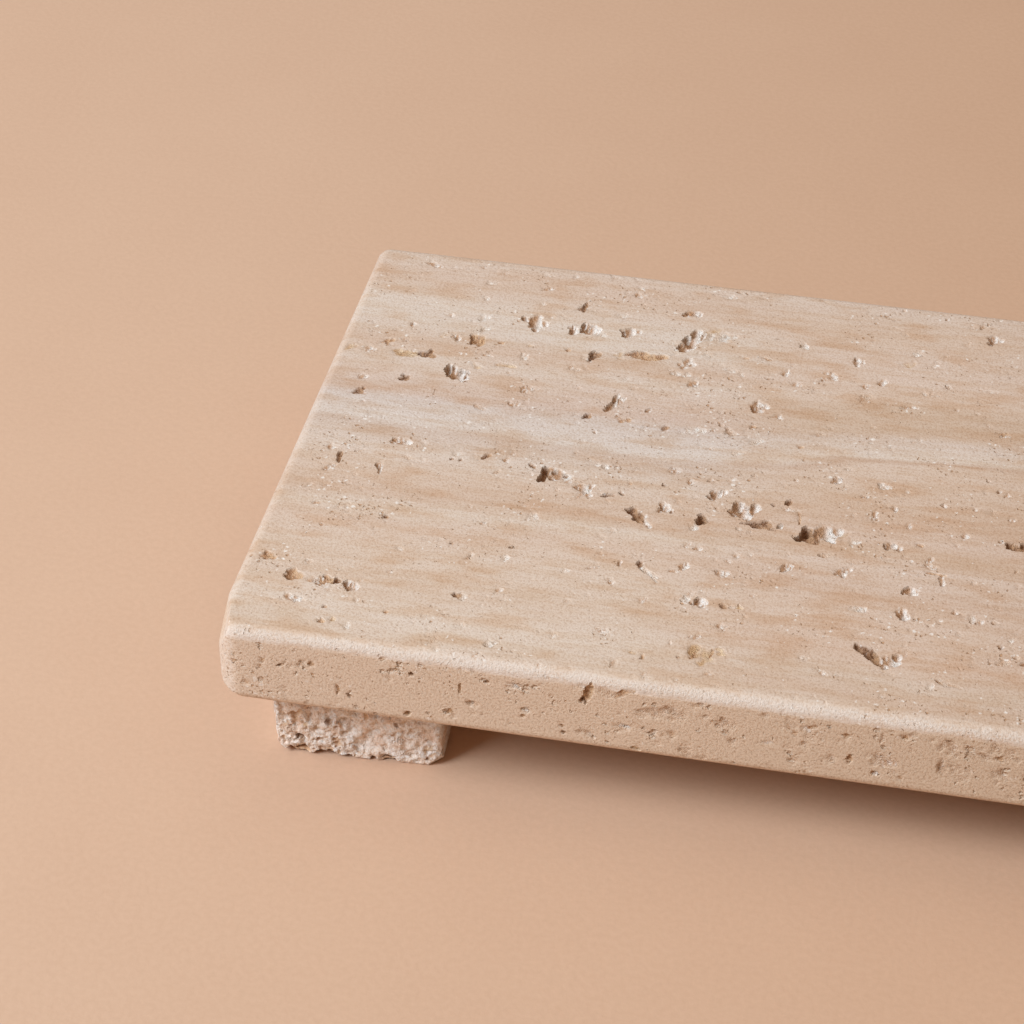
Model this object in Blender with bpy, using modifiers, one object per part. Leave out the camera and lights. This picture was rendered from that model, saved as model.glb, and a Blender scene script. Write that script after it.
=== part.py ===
"""Footed tray: an unfilled travertine slab bonded to four travertine block feet.

+X runs along the slab's length, +Y to its back edge and +Z up. The origin lies under the middle
of the slab, on the plane that the feet stand on. Every size is in metres.

The stone is left unfilled, so its natural voids are the main feature: vugs, slots and channels
that follow the bedding, cut by lumpy pockets whose sizes and places are tables of shares.
"""

import math
from typing import NamedTuple

import bmesh
import bpy
from mathutils import Euler, Matrix, Vector

# The slab: sawn and honed, with eased arrises and the front's plan corners rubbed down further
SLAB_LENGTH = 0.300
SLAB_DEPTH = 0.150
SLAB_THICKNESS = 0.020
SLAB_FRONT_CORNER = 0.0055
SLAB_BACK_CORNER = 0.0031
SLAB_ARRIS = 0.0028
CORNER_STEPS = 4
ROUND_PROFILE = 0.5
ARRIS_STEPS = 3

# The feet: square blocks sawn from a strip of the same stone and left rough
FOOT_WIDTH = 0.0372
FOOT_HEIGHT = 0.0200
FOOT_ARRIS = 0.0008
FOOT_ARRIS_STEPS = 2
FOOT_END_INSET = 0.0084
FOOT_SIDE_INSET = 0.0095
FOOT_CHIP = 0.0034

# The cured adhesive between each foot and the slab
ADHESIVE_THICKNESS = 0.0006
ADHESIVE_SETBACK = 0.0018
ADHESIVE_CORNER = 0.0040
SEAT_GAP = 0.0003

# The natural voids, whose tables give shares of these lengths
LARGEST_VOID = 0.0120
LARGEST_FOOT_VOID = 0.0050

# How a pocket departs from an ellipsoid
LUMP_SHARE = 0.13
LOBE_SHARE = 0.10
BEND_SHARE = 0.22
SINK_SHARE = 0.22
LUMP_WAVES = 2.7
LOBE_COUNT = 3

# How finely a pocket is faceted, by its length
LONG_POCKET_SHARE = 0.40
LONG_POCKET_FACETS = (10, 5)
SHORT_POCKET_FACETS = (7, 5)
FOOT_POCKET_FACETS = (6, 5)


class Pocket(NamedTuple):
    """One void: its place as shares of a face, and its size as shares of the largest void."""

    along_share: float
    up_share: float
    length_share: float
    width_share: float
    depth_share: float
    turn_share: float


class Face(NamedTuple):
    """A flat face: its lower left corner seen from outside, its two sides and its normal."""

    corner: Vector
    along: Vector
    up: Vector
    normal: Vector


# Each row: place along and up the face, then length, width, depth and turn of the void.
# The first group lies in the slab's left half, from the back edge to the front.
TOP_VOID_SHARES = (
    (0.270, 0.903, 0.38, 0.25, 0.17, 0.02),
    (0.183, 0.887, 0.33, 0.14, 0.13, 0.21),
    (0.148, 0.827, 0.50, 0.33, 0.17, 0.86),
    (0.180, 0.819, 0.30, 0.20, 0.17, 0.25),
    (0.195, 0.823, 0.42, 0.38, 0.25, 0.00),
    (0.224, 0.830, 0.33, 0.29, 0.21, 0.15),
    (0.275, 0.827, 0.67, 0.32, 0.29, 0.16),
    (0.405, 0.823, 0.30, 0.18, 0.13, 0.14),
    (0.108, 0.760, 0.36, 0.26, 0.17, 0.25),
    (0.203, 0.757, 0.33, 0.25, 0.17, 0.17),
    (0.243, 0.767, 0.75, 0.29, 0.15, 0.01),
    (0.073, 0.707, 0.29, 0.25, 0.29, 0.00),
    (0.052, 0.702, 0.50, 0.19, 0.13, 0.02),
    (0.137, 0.701, 0.46, 0.15, 0.10, 0.00),
    (0.102, 0.663, 0.46, 0.46, 0.38, 0.00),
    (0.063, 0.637, 0.22, 0.20, 0.15, 0.25),
    (0.338, 0.670, 0.42, 0.22, 0.17, 0.19),
    (0.228, 0.630, 0.58, 0.18, 0.17, 0.19),
    (0.033, 0.589, 0.25, 0.21, 0.13, 0.25),
    (0.408, 0.511, 0.25, 0.20, 0.13, 0.15),
    (0.082, 0.475, 0.42, 0.22, 0.17, 0.98),
    (0.193, 0.440, 0.42, 0.17, 0.33, 0.25),
    (0.209, 0.438, 0.42, 0.30, 0.17, 0.95),
    (0.225, 0.417, 0.42, 0.25, 0.13, 0.94),
    (0.323, 0.440, 0.33, 0.20, 0.21, 0.19),
    (0.376, 0.442, 0.23, 0.14, 0.17, 0.17),
    (0.345, 0.415, 0.42, 0.29, 0.29, 0.00),
    (0.358, 0.383, 0.62, 0.19, 0.25, 0.00),
    (0.267, 0.370, 0.46, 0.16, 0.25, 0.86),
    (0.318, 0.377, 0.27, 0.23, 0.42, 0.90),
    (0.395, 0.374, 0.33, 0.29, 0.42, 0.12),
    (0.410, 0.387, 0.38, 0.32, 0.20, 0.20),
    (0.455, 0.373, 0.33, 0.22, 0.21, 0.05),
    (0.493, 0.310, 0.42, 0.14, 0.12, 0.85),
    (0.474, 0.275, 0.33, 0.25, 0.20, 0.95),
    (0.470, 0.220, 0.30, 0.23, 0.20, 0.90),
    (0.285, 0.253, 0.50, 0.14, 0.13, 0.89),
    (0.329, 0.192, 0.30, 0.23, 0.20, 0.20),
    (0.352, 0.189, 0.42, 0.15, 0.17, 0.00),
    (0.018, 0.169, 0.23, 0.18, 0.13, 0.05),
    (0.056, 0.133, 0.94, 0.25, 0.25, 0.00),
    (0.086, 0.125, 0.30, 0.20, 0.17, 0.10),
    (0.163, 0.136, 0.38, 0.17, 0.15, 0.00),
    (0.454, 0.127, 0.64, 0.24, 0.33, 0.86),
    (0.469, 0.118, 0.42, 0.30, 0.17, 0.10),
    (0.267, 0.102, 0.27, 0.17, 0.10, 0.90),
    (0.342, 0.083, 0.70, 0.40, 0.17, 0.00),
    (0.049, 0.083, 0.42, 0.14, 0.13, 0.96),
    # The second group lies in its right half, from left to right
    (0.510, 0.923, 0.30, 0.25, 0.20, 0.75),
    (0.545, 0.405, 0.40, 0.22, 0.30, 0.02),
    (0.575, 0.150, 0.70, 0.22, 0.25, 0.01),
    (0.590, 0.640, 0.30, 0.26, 0.25, 0.10),
    (0.625, 0.352, 0.50, 0.30, 0.35, 0.97),
    (0.640, 0.780, 0.85, 0.24, 0.20, 0.00),
    (0.665, 0.232, 0.28, 0.25, 0.30, 0.20),
    (0.690, 0.520, 0.36, 0.14, 0.20, 0.20),
    (0.715, 0.885, 0.33, 0.27, 0.22, 0.05),
    (0.735, 0.398, 0.62, 0.22, 0.28, 0.99),
    (0.760, 0.118, 0.38, 0.33, 0.25, 0.15),
    (0.785, 0.690, 0.42, 0.38, 0.33, 0.00),
    (0.815, 0.300, 0.30, 0.22, 0.22, 0.88),
    (0.840, 0.560, 0.24, 0.22, 0.18, 0.30),
    (0.865, 0.815, 0.60, 0.20, 0.17, 0.02),
    (0.880, 0.187, 0.46, 0.20, 0.25, 0.97),
    (0.905, 0.430, 0.36, 0.30, 0.30, 0.10),
    (0.940, 0.655, 0.27, 0.18, 0.15, 0.21),
)
UNDERSIDE_VOID_SHARES = (
    (0.230, 0.520, 0.70, 0.24, 0.25, 0.01),
    (0.345, 0.280, 0.33, 0.28, 0.25, 0.15),
    (0.410, 0.700, 0.46, 0.22, 0.20, 0.97),
    (0.520, 0.430, 0.38, 0.33, 0.30, 0.05),
    (0.600, 0.820, 0.50, 0.18, 0.17, 0.99),
    (0.640, 0.560, 0.30, 0.25, 0.21, 0.20),
    (0.760, 0.450, 0.62, 0.25, 0.25, 0.02),
)
FRONT_VOID_SHARES = (
    (0.142, 0.715, 0.13, 0.12, 0.13, 0.00),
    (0.268, 0.790, 0.46, 0.12, 0.13, 0.19),
    (0.295, 0.830, 0.42, 0.11, 0.08, 0.11),
    (0.447, 0.700, 0.20, 0.14, 0.10, 0.05),
    (0.470, 0.360, 0.33, 0.22, 0.10, 0.92),
    (0.640, 0.520, 0.50, 0.14, 0.17, 0.98),
    (0.770, 0.340, 0.30, 0.18, 0.17, 0.06),
    (0.885, 0.640, 0.38, 0.14, 0.15, 0.02),
)
BACK_VOID_SHARES = (
    (0.130, 0.480, 0.46, 0.14, 0.17, 0.99),
    (0.310, 0.620, 0.25, 0.20, 0.17, 0.10),
    (0.480, 0.380, 0.50, 0.16, 0.17, 0.02),
    (0.690, 0.560, 0.33, 0.22, 0.20, 0.96),
    (0.860, 0.430, 0.38, 0.14, 0.15, 0.03),
)
END_VOID_SHARES = (
    (0.240, 0.580, 0.38, 0.14, 0.15, 0.01),
    (0.520, 0.420, 0.27, 0.20, 0.17, 0.08),
    (0.780, 0.600, 0.46, 0.16, 0.17, 0.98),
)

# A foot's four sides, as seen from outside, starting at its most open side. Rows are as above,
# with sizes as shares of the largest void in a foot.
FOOT_VOID_SHARES = (
    (
        (0.150, 0.255, 0.44, 0.32, 0.55, 0.95),
        (0.335, 0.470, 0.34, 0.26, 0.45, 0.30),
        (0.405, 0.490, 0.34, 0.26, 0.30, 0.70),
        (0.270, 0.240, 0.40, 0.30, 0.35, 0.15),
        (0.370, 0.250, 0.28, 0.20, 0.25, 0.12),
        (0.205, 0.140, 0.28, 0.24, 0.25, 0.25),
        (0.555, 0.245, 0.40, 0.28, 0.25, 0.05),
        (0.740, 0.540, 0.26, 0.20, 0.30, 0.90),
        (0.885, 0.460, 0.66, 0.20, 0.22, 0.06),
        (0.140, 0.590, 0.60, 0.40, 0.30, 0.10),
        (0.620, 0.740, 0.40, 0.28, 0.30, 0.04),
    ),
    (
        (0.300, 0.620, 0.44, 0.20, 0.20, 0.02),
        (0.680, 0.380, 0.36, 0.22, 0.24, 0.98),
    ),
    (
        (0.220, 0.340, 0.50, 0.34, 0.40, 0.04),
        (0.460, 0.660, 0.40, 0.24, 0.30, 0.94),
        (0.640, 0.280, 0.34, 0.30, 0.36, 0.20),
        (0.800, 0.560, 0.56, 0.26, 0.30, 0.00),
    ),
    (
        (0.250, 0.480, 0.40, 0.26, 0.30, 0.08),
        (0.570, 0.320, 0.60, 0.24, 0.26, 0.98),
        (0.790, 0.660, 0.30, 0.24, 0.28, 0.25),
    ),
)
# Bites out of the foot's lower edge on its most open side: place, length and height
FOOT_BITE_SHARES = (
    (0.095, 0.34, 0.16),
    (0.305, 0.60, 0.26),
    (0.585, 0.22, 0.18),
    (0.700, 0.70, 0.08),
)

# Where each foot stands, how far it was set askew, and which of its sides faces forward
FOOT_SPOTS = {
    "front_left": (-1, -1),
    "front_right": (1, -1),
    "back_left": (-1, 1),
    "back_right": (1, 1),
}
FOOT_SKEWS = {
    "front_left": math.radians(3.5),
    "front_right": math.radians(-1.5),
    "back_left": math.radians(-2.0),
    "back_right": math.radians(1.0),
}
FOOT_QUARTER_TURNS = {"front_left": 0, "front_right": 3, "back_left": 2, "back_right": 1}

SLAB_UNDERSIDE = FOOT_HEIGHT + SEAT_GAP + ADHESIVE_THICKNESS + SEAT_GAP
QUARTER_TURN = math.radians(90.0)
FULL_TURN = math.radians(360.0)
EDGE_ANGLE = math.radians(40.0)
SMOOTH_ANGLE = math.radians(30.0)
SAME = 0.999


def clear_scene():
    """Remove every object that the file opened with."""
    for stray in list(bpy.data.objects):
        bpy.data.objects.remove(stray, do_unlink=True)


def new_collection(name):
    """Return a new collection linked into the scene."""
    collection = bpy.data.collections.new(name)
    bpy.context.scene.collection.children.link(collection)
    return collection


def new_material(name, colour, roughness):
    """Return a Principled material of one colour."""
    material = bpy.data.materials.new(name)
    material.use_nodes = True
    shader = material.node_tree.nodes["Principled BSDF"]
    shader.inputs["Base Color"].default_value = colour
    shader.inputs["Roughness"].default_value = roughness
    shader.inputs["Metallic"].default_value = 0.0
    return material


def add_object(name, bm, collection, material=None):
    """Turn a bmesh into an object of its own in a collection."""
    mesh = bpy.data.meshes.new(name)
    bm.normal_update()
    bm.to_mesh(mesh)
    bm.free()
    thing = bpy.data.objects.new(name, mesh)
    if material:
        mesh.materials.append(material)
    collection.objects.link(thing)
    return thing


def block(length, depth, height, front_corner, back_corner, corner_steps):
    """Return a box, centred on the origin, with its upright edges rounded."""
    bm = bmesh.new()
    bmesh.ops.create_cube(bm, size=1.0)
    bmesh.ops.scale(bm, vec=(length, depth, height), verts=bm.verts)
    for row, corner in ((-1.0, front_corner), (1.0, back_corner)):
        upright = [edge for edge in bm.edges if stands_in_row(edge, row, length, depth)]
        bmesh.ops.bevel(
            bm,
            geom=upright,
            offset=corner,
            segments=corner_steps,
            profile=ROUND_PROFILE,
            affect="EDGES",
        )
    return bm


def stands_in_row(edge, row, length, depth):
    """Say whether an edge stands upright at a corner of the front row, -1, or the back row, 1."""
    foot, head = (vert.co for vert in edge.verts)
    at_corner = abs(foot.x) * 2.0 > length * SAME and foot.y * row * 2.0 > depth * SAME
    return at_corner and foot.z * head.z < 0.0 and abs(foot.x - head.x) < length * (1.0 - SAME)


def ease_edges(thing, width, steps):
    """Round the edges that are still sharp."""
    bevel = thing.modifiers.new("eased_edges", "BEVEL")
    bevel.width = width
    bevel.segments = steps
    bevel.limit_method = "ANGLE"
    bevel.angle_limit = EDGE_ANGLE


def cut_by(thing, cutters):
    """Subtract every object of a collection from a piece."""
    cut = thing.modifiers.new("natural_voids", "BOOLEAN")
    cut.operation = "DIFFERENCE"
    cut.solver = "EXACT"
    cut.operand_type = "COLLECTION"
    cut.collection = cutters


def shade_by_angle(thing):
    """Shade the rounded stone smooth and keep the rims of its voids sharp."""
    thing.data.shade_smooth()
    thing.data.set_sharp_from_angle(angle=SMOOTH_ANGLE)


def add_pocket(name, size, place, phase, facets, cutters):
    """Add the cutter of one void: an ellipsoid made lumpy, lobed and bent by sums of sines.

    size holds its half length, half width and half depth, and place is the matrix that lays its
    length and width on a face, with its depth along the face's normal. phase makes each differ,
    and facets counts its segments and rings.
    """
    segments, rings = facets
    bm = bmesh.new()
    bmesh.ops.create_uvsphere(bm, u_segments=segments, v_segments=rings, radius=1.0)
    for vert in bm.verts:
        x, y, z = vert.co
        around = math.atan2(y, x)
        rim = math.hypot(x, y)
        lump = math.sin(LUMP_WAVES * x + phase) * math.cos(LUMP_WAVES * (y + z) - phase)
        lobe = rim * math.sin(LOBE_COUNT * around + phase + phase)
        swell = 1.0 + LUMP_SHARE * lump + LOBE_SHARE * lobe
        bend = BEND_SHARE * math.sin(LUMP_WAVES * x - phase)
        vert.co = Vector((x * size.x, (y + bend) * size.y, z * size.z)) * swell
    bmesh.ops.transform(bm, matrix=place, verts=bm.verts)
    cutter = add_object(name, bm, cutters)
    cutter.hide_render = True
    cutter.display_type = "WIRE"
    return cutter


def facets_for(length_share):
    """Return the segments and rings that a void of the slab needs."""
    return LONG_POCKET_FACETS if length_share > LONG_POCKET_SHARE else SHORT_POCKET_FACETS


def cut_voids(prefix, face, rows, largest, facets, cutters):
    """Add the cutters of one face's voids, each laid on the face and sunk a little into it.

    facets is either the segments and rings of each void, or None to choose them by its length.
    """
    for number, row in enumerate(rows, start=1):
        pocket = Pocket(*row)
        size = Vector((pocket.length_share, pocket.width_share, pocket.depth_share)) * largest / 2.0
        size.z += size.z
        turn = Matrix.Rotation(pocket.turn_share * FULL_TURN, 3, face.normal)
        along = turn @ face.along.normalized()
        across = face.normal.cross(along)
        spot = face.corner + face.along * pocket.along_share + face.up * pocket.up_share
        spot -= face.normal * size.z * SINK_SHARE
        place = Matrix((along, across, face.normal)).transposed().to_4x4()
        place.translation = spot
        fineness = facets or facets_for(pocket.length_share)
        add_pocket(f"{prefix}_{number:02d}", size, place, float(number), fineness, cutters)


def box_faces(length, depth, height):
    """Return the faces of a box centred on the origin, seen from outside.

    They are its front, right, back and left sides, then its top and its underside.
    """
    x, y, z = Vector((length, 0, 0)), Vector((0, depth, 0)), Vector((0, 0, height))
    front_left = (x + y + z) / -2.0
    return (
        Face(front_left, x, z, -y.normalized()),
        Face(front_left + x, y, z, x.normalized()),
        Face(front_left + x + y, -x, z, y.normalized()),
        Face(front_left + y, -y, z, -x.normalized()),
        Face(front_left + z, x, y, z.normalized()),
        Face(front_left + y, x, -y, -z.normalized()),
    )


def moved(face, offset):
    """Return a face shifted by an offset."""
    return face._replace(corner=face.corner + offset)


def make_slab(parts, material):
    """Make the slab, with its voids cut into every face."""
    size = SLAB_LENGTH, SLAB_DEPTH, SLAB_THICKNESS
    bm = block(*size, SLAB_FRONT_CORNER, SLAB_BACK_CORNER, CORNER_STEPS)
    middle = Vector((0, 0, SLAB_UNDERSIDE + SLAB_THICKNESS / 2.0))
    bmesh.ops.translate(bm, vec=middle, verts=bm.verts)
    slab = add_object("slab", bm, parts, material)
    ease_edges(slab, SLAB_ARRIS, ARRIS_STEPS)

    cutters = new_collection("slab_voids")
    front, right, back, left, top, underside = (
        moved(face, middle) for face in box_faces(*size)
    )
    for prefix, face, rows in (
        ("top_void", top, TOP_VOID_SHARES),
        ("underside_void", underside, UNDERSIDE_VOID_SHARES),
        ("front_void", front, FRONT_VOID_SHARES),
        ("back_void", back, BACK_VOID_SHARES),
        ("right_void", right, END_VOID_SHARES),
        ("left_void", left, END_VOID_SHARES),
    ):
        cut_voids(prefix, face, rows, LARGEST_VOID, None, cutters)
    cut_by(slab, cutters)
    shade_by_angle(slab)
    return slab


def add_bites(name, face, cutters):
    """Add the cutters that chew the lower edge of a foot's most open side."""
    for number, (along_share, length_share, height_share) in enumerate(FOOT_BITE_SHARES, start=1):
        size = Vector((length_share, height_share, height_share)) * LARGEST_FOOT_VOID / 2.0
        size.y += size.y
        size.z += size.z
        place = Matrix((face.along.normalized(), face.up.normalized(), face.normal))
        place = place.transposed().to_4x4()
        place.translation = face.corner + face.along * along_share
        title = f"{name}_bite_{number}"
        add_pocket(title, size, place, float(number), FOOT_POCKET_FACETS, cutters)


def add_chip(name, face, cutters):
    """Add the cutter that knocks off the lower right corner of a foot's most open side.

    It is a cube whose face cuts the corner's three edges, each at the chip's length.
    """
    bm = bmesh.new()
    bmesh.ops.create_cube(bm, size=FOOT_CHIP * 2.0)
    corner = face.corner + face.along
    outward = (face.along.normalized() - face.up.normalized() + face.normal).normalized()
    tilt = outward.to_track_quat("Z", "Y").to_matrix().to_4x4()
    reach = FOOT_CHIP - FOOT_CHIP / math.sqrt(3.0)
    tilt.translation = corner + outward * reach
    bmesh.ops.transform(bm, matrix=tilt, verts=bm.verts)
    chip = add_object(f"{name}_chip", bm, cutters)
    chip.hide_render = True
    chip.display_type = "WIRE"


def foot_centre(spot):
    """Return the middle of a foot's plan, inset from the slab's end and from its long side."""
    side, row = FOOT_SPOTS[spot]
    x = SLAB_LENGTH / 2.0 - FOOT_END_INSET - FOOT_WIDTH / 2.0
    y = SLAB_DEPTH / 2.0 - FOOT_SIDE_INSET - FOOT_WIDTH / 2.0
    return Vector((side * x, row * y, 0))


def make_foot(spot, parts, material):
    """Make one foot, with the voids, bites and chip of the strip that it was sawn from."""
    name = f"foot_{spot}"
    size = FOOT_WIDTH, FOOT_WIDTH, FOOT_HEIGHT
    bm = block(*size, FOOT_ARRIS, FOOT_ARRIS, FOOT_ARRIS_STEPS)
    foot = add_object(name, bm, parts, material)
    ease_edges(foot, FOOT_ARRIS, FOOT_ARRIS_STEPS)

    cutters = new_collection(f"{name}_voids")
    sides = box_faces(*size)[: len(FOOT_VOID_SHARES)]
    for number, (face, rows) in enumerate(zip(sides, FOOT_VOID_SHARES), start=1):
        prefix = f"{name}_side_{number}"
        cut_voids(prefix, face, rows, LARGEST_FOOT_VOID, FOOT_POCKET_FACETS, cutters)
    add_bites(name, sides[0], cutters)
    add_chip(name, sides[0], cutters)
    cut_by(foot, cutters)
    shade_by_angle(foot)

    turn = FOOT_SKEWS[spot] + FOOT_QUARTER_TURNS[spot] * QUARTER_TURN
    centre = foot_centre(spot) + Vector((0, 0, FOOT_HEIGHT / 2.0))
    for piece in [foot, *cutters.objects]:
        piece.rotation_euler = Euler((0, 0, turn))
        piece.location = centre
    return foot


def make_adhesive(spot, parts, material):
    """Make the thin bed of cured adhesive between one foot and the slab."""
    side = FOOT_WIDTH - ADHESIVE_SETBACK - ADHESIVE_SETBACK
    bm = block(side, side, ADHESIVE_THICKNESS, ADHESIVE_CORNER, ADHESIVE_CORNER, CORNER_STEPS)
    bed = add_object(f"adhesive_{spot}", bm, parts, material)
    bed.rotation_euler = Euler((0, 0, FOOT_SKEWS[spot]))
    height = FOOT_HEIGHT + SEAT_GAP + ADHESIVE_THICKNESS / 2.0
    bed.location = foot_centre(spot) + Vector((0, 0, height))
    return bed


def main():
    """Build the tray."""
    clear_scene()
    parts = new_collection("footed_tray")
    honed = new_material("honed_travertine", (0.62, 0.46, 0.35, 1.0), 0.55)
    rough = new_material("rough_travertine", (0.55, 0.40, 0.30, 1.0), 0.80)
    cured = new_material("cured_adhesive", (0.66, 0.58, 0.46, 1.0), 0.45)
    make_slab(parts, honed)
    for spot in FOOT_SPOTS:
        make_foot(spot, parts, rough)
        make_adhesive(spot, parts, cured)


main()
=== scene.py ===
"""The looks of a footed tray: a honed, unfilled travertine slab bonded to four rough stone feet.

Every stone piece is a sawn block worked out with numpy as one closed surface, into which the
natural voids of the stone are dug along its normals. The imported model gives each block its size
and place. +X runs along the slab, +Y to its back edge and +Z up, and lengths are in metres.
"""

import logging
import math
from dataclasses import dataclass, field
from enum import Enum
from typing import Any, NamedTuple

import bpy
import numpy as np
from bpy.types import Material, Node, NodeSocket, NodeTree, Object
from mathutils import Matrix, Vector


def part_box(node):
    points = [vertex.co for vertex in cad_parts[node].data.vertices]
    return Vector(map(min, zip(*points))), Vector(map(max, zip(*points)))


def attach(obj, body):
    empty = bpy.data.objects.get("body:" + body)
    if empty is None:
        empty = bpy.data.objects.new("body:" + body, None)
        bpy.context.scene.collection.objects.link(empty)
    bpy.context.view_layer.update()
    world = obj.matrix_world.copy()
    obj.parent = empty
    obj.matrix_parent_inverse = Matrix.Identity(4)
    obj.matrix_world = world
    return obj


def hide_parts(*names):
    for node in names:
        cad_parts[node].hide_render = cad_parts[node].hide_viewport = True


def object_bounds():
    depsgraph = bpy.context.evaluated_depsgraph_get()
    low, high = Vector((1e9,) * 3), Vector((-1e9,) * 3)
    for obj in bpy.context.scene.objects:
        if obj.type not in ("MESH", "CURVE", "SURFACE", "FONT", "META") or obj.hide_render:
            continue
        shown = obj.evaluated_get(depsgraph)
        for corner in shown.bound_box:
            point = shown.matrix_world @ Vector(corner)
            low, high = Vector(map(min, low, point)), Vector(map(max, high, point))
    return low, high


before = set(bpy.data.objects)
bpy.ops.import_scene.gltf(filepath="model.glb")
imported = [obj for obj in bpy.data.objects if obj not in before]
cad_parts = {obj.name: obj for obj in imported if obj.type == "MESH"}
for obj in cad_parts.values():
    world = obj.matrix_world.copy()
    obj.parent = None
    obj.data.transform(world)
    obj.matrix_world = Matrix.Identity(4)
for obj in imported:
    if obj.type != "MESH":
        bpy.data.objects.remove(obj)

LOG = logging.getLogger("footed_tray")
CAD_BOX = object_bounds()

MM = 0.001
METRE_IN_MM = 1000.0
FULL_TURN = math.tau
QUARTER_TURN = math.tau / 4.0

# Socket numbers of the Map Range node and of the colour Mix node, whose sockets share their names
FROM_MIN, FROM_MAX, TO_MIN, TO_MAX = 1, 2, 3, 4
MIX_FACTOR, MIX_A, MIX_B = 0, 6, 7
MIX_COLOUR = 2
# The setting of a Map Range that eases it in and out
SMOOTH = {"interpolation_type": "SMOOTHSTEP"}
# The refractive index of calcite, which travertine is made of
CALCITE_IOR = 1.49


class Side(Enum):
    """A side of a block, as its directions along, up and outwards, seen from outside."""

    FRONT = ((1, 0, 0), (0, 0, 1), (0, -1, 0))
    RIGHT = ((0, 1, 0), (0, 0, 1), (1, 0, 0))
    BACK = ((-1, 0, 0), (0, 0, 1), (0, 1, 0))
    LEFT = ((0, -1, 0), (0, 0, 1), (-1, 0, 0))
    TOP = ((1, 0, 0), (0, 1, 0), (0, 0, 1))
    UNDERSIDE = ((1, 0, 0), (0, -1, 0), (0, 0, -1))


class Lining(Enum):
    """What lines a void: its left wall's colour, darkened by painted shade, its right wall's own colour,
    and how far they hide the stone.
    """

    # Each: the left wall's colour with painted shade, the right wall's own colour, and the strength
    BARE = ("#C1956F", "#E6D0BC", 0.60)
    CALCITE = ("#BF9068", "#FAF3EC", 0.95)
    CHALK = ("#DFC9B6", "#F8F2EB", 0.90)
    IRON = ("#B27E50", "#DCB389", 0.85)
    OCHRE = ("#C59A69", "#EACFAD", 0.85)
    UMBER = ("#84552F", "#BC9068", 0.88)


class Void(NamedTuple):
    """One void: its place as shares of a side, its size as shares of the largest, lining and turn."""

    along_share: float
    up_share: float
    length_share: float
    width_share: float
    depth_share: float
    lining: Lining
    turn_share: float = 0.0


class Pocket(NamedTuple):
    """An ellipsoid dug into a block: its centre, its axes as rows, its radii and its lining."""

    centre: np.ndarray
    axes: np.ndarray
    radii: np.ndarray
    lining: Lining


class Scatter(NamedTuple):
    """Small pits to scatter over a side.

    Attributes:
        side: The side of the block.
        count: How many pits.
        sizes: The sizes of the smallest and the largest.
        linings: What they are lined with, drawn at random.
        depths: The depths of the shallowest and the deepest, as shares of their size.
        reach: The shares of the side's length that they keep between.
        rise: The shares of the side's height that they keep between.
    """

    side: Side
    count: int
    sizes: tuple[float, float]
    linings: tuple[Lining, ...]
    depths: tuple[float, float] = (0.22, 0.50)
    reach: tuple[float, float] = (0.01, 0.99)
    rise: tuple[float, float] = (0.01, 0.99)


class Facet(NamedTuple):
    """A flat worn on a block: its outward direction, and how far along that it lies."""

    normal: np.ndarray
    level: float


class Face(NamedTuple):
    """A flat side of a block: its lower left corner, its directions and its two lengths."""

    corner: np.ndarray
    along: np.ndarray
    up: np.ndarray
    out: np.ndarray
    length: float
    height: float


class Surface(NamedTuple):
    """A closed surface: points, outward normals, and corner numbers of its quads and triangles."""

    points: np.ndarray
    normals: np.ndarray
    quads: np.ndarray
    triangles: np.ndarray


BARE, CALCITE, CHALK, IRON, OCHRE, UMBER = Lining

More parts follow.
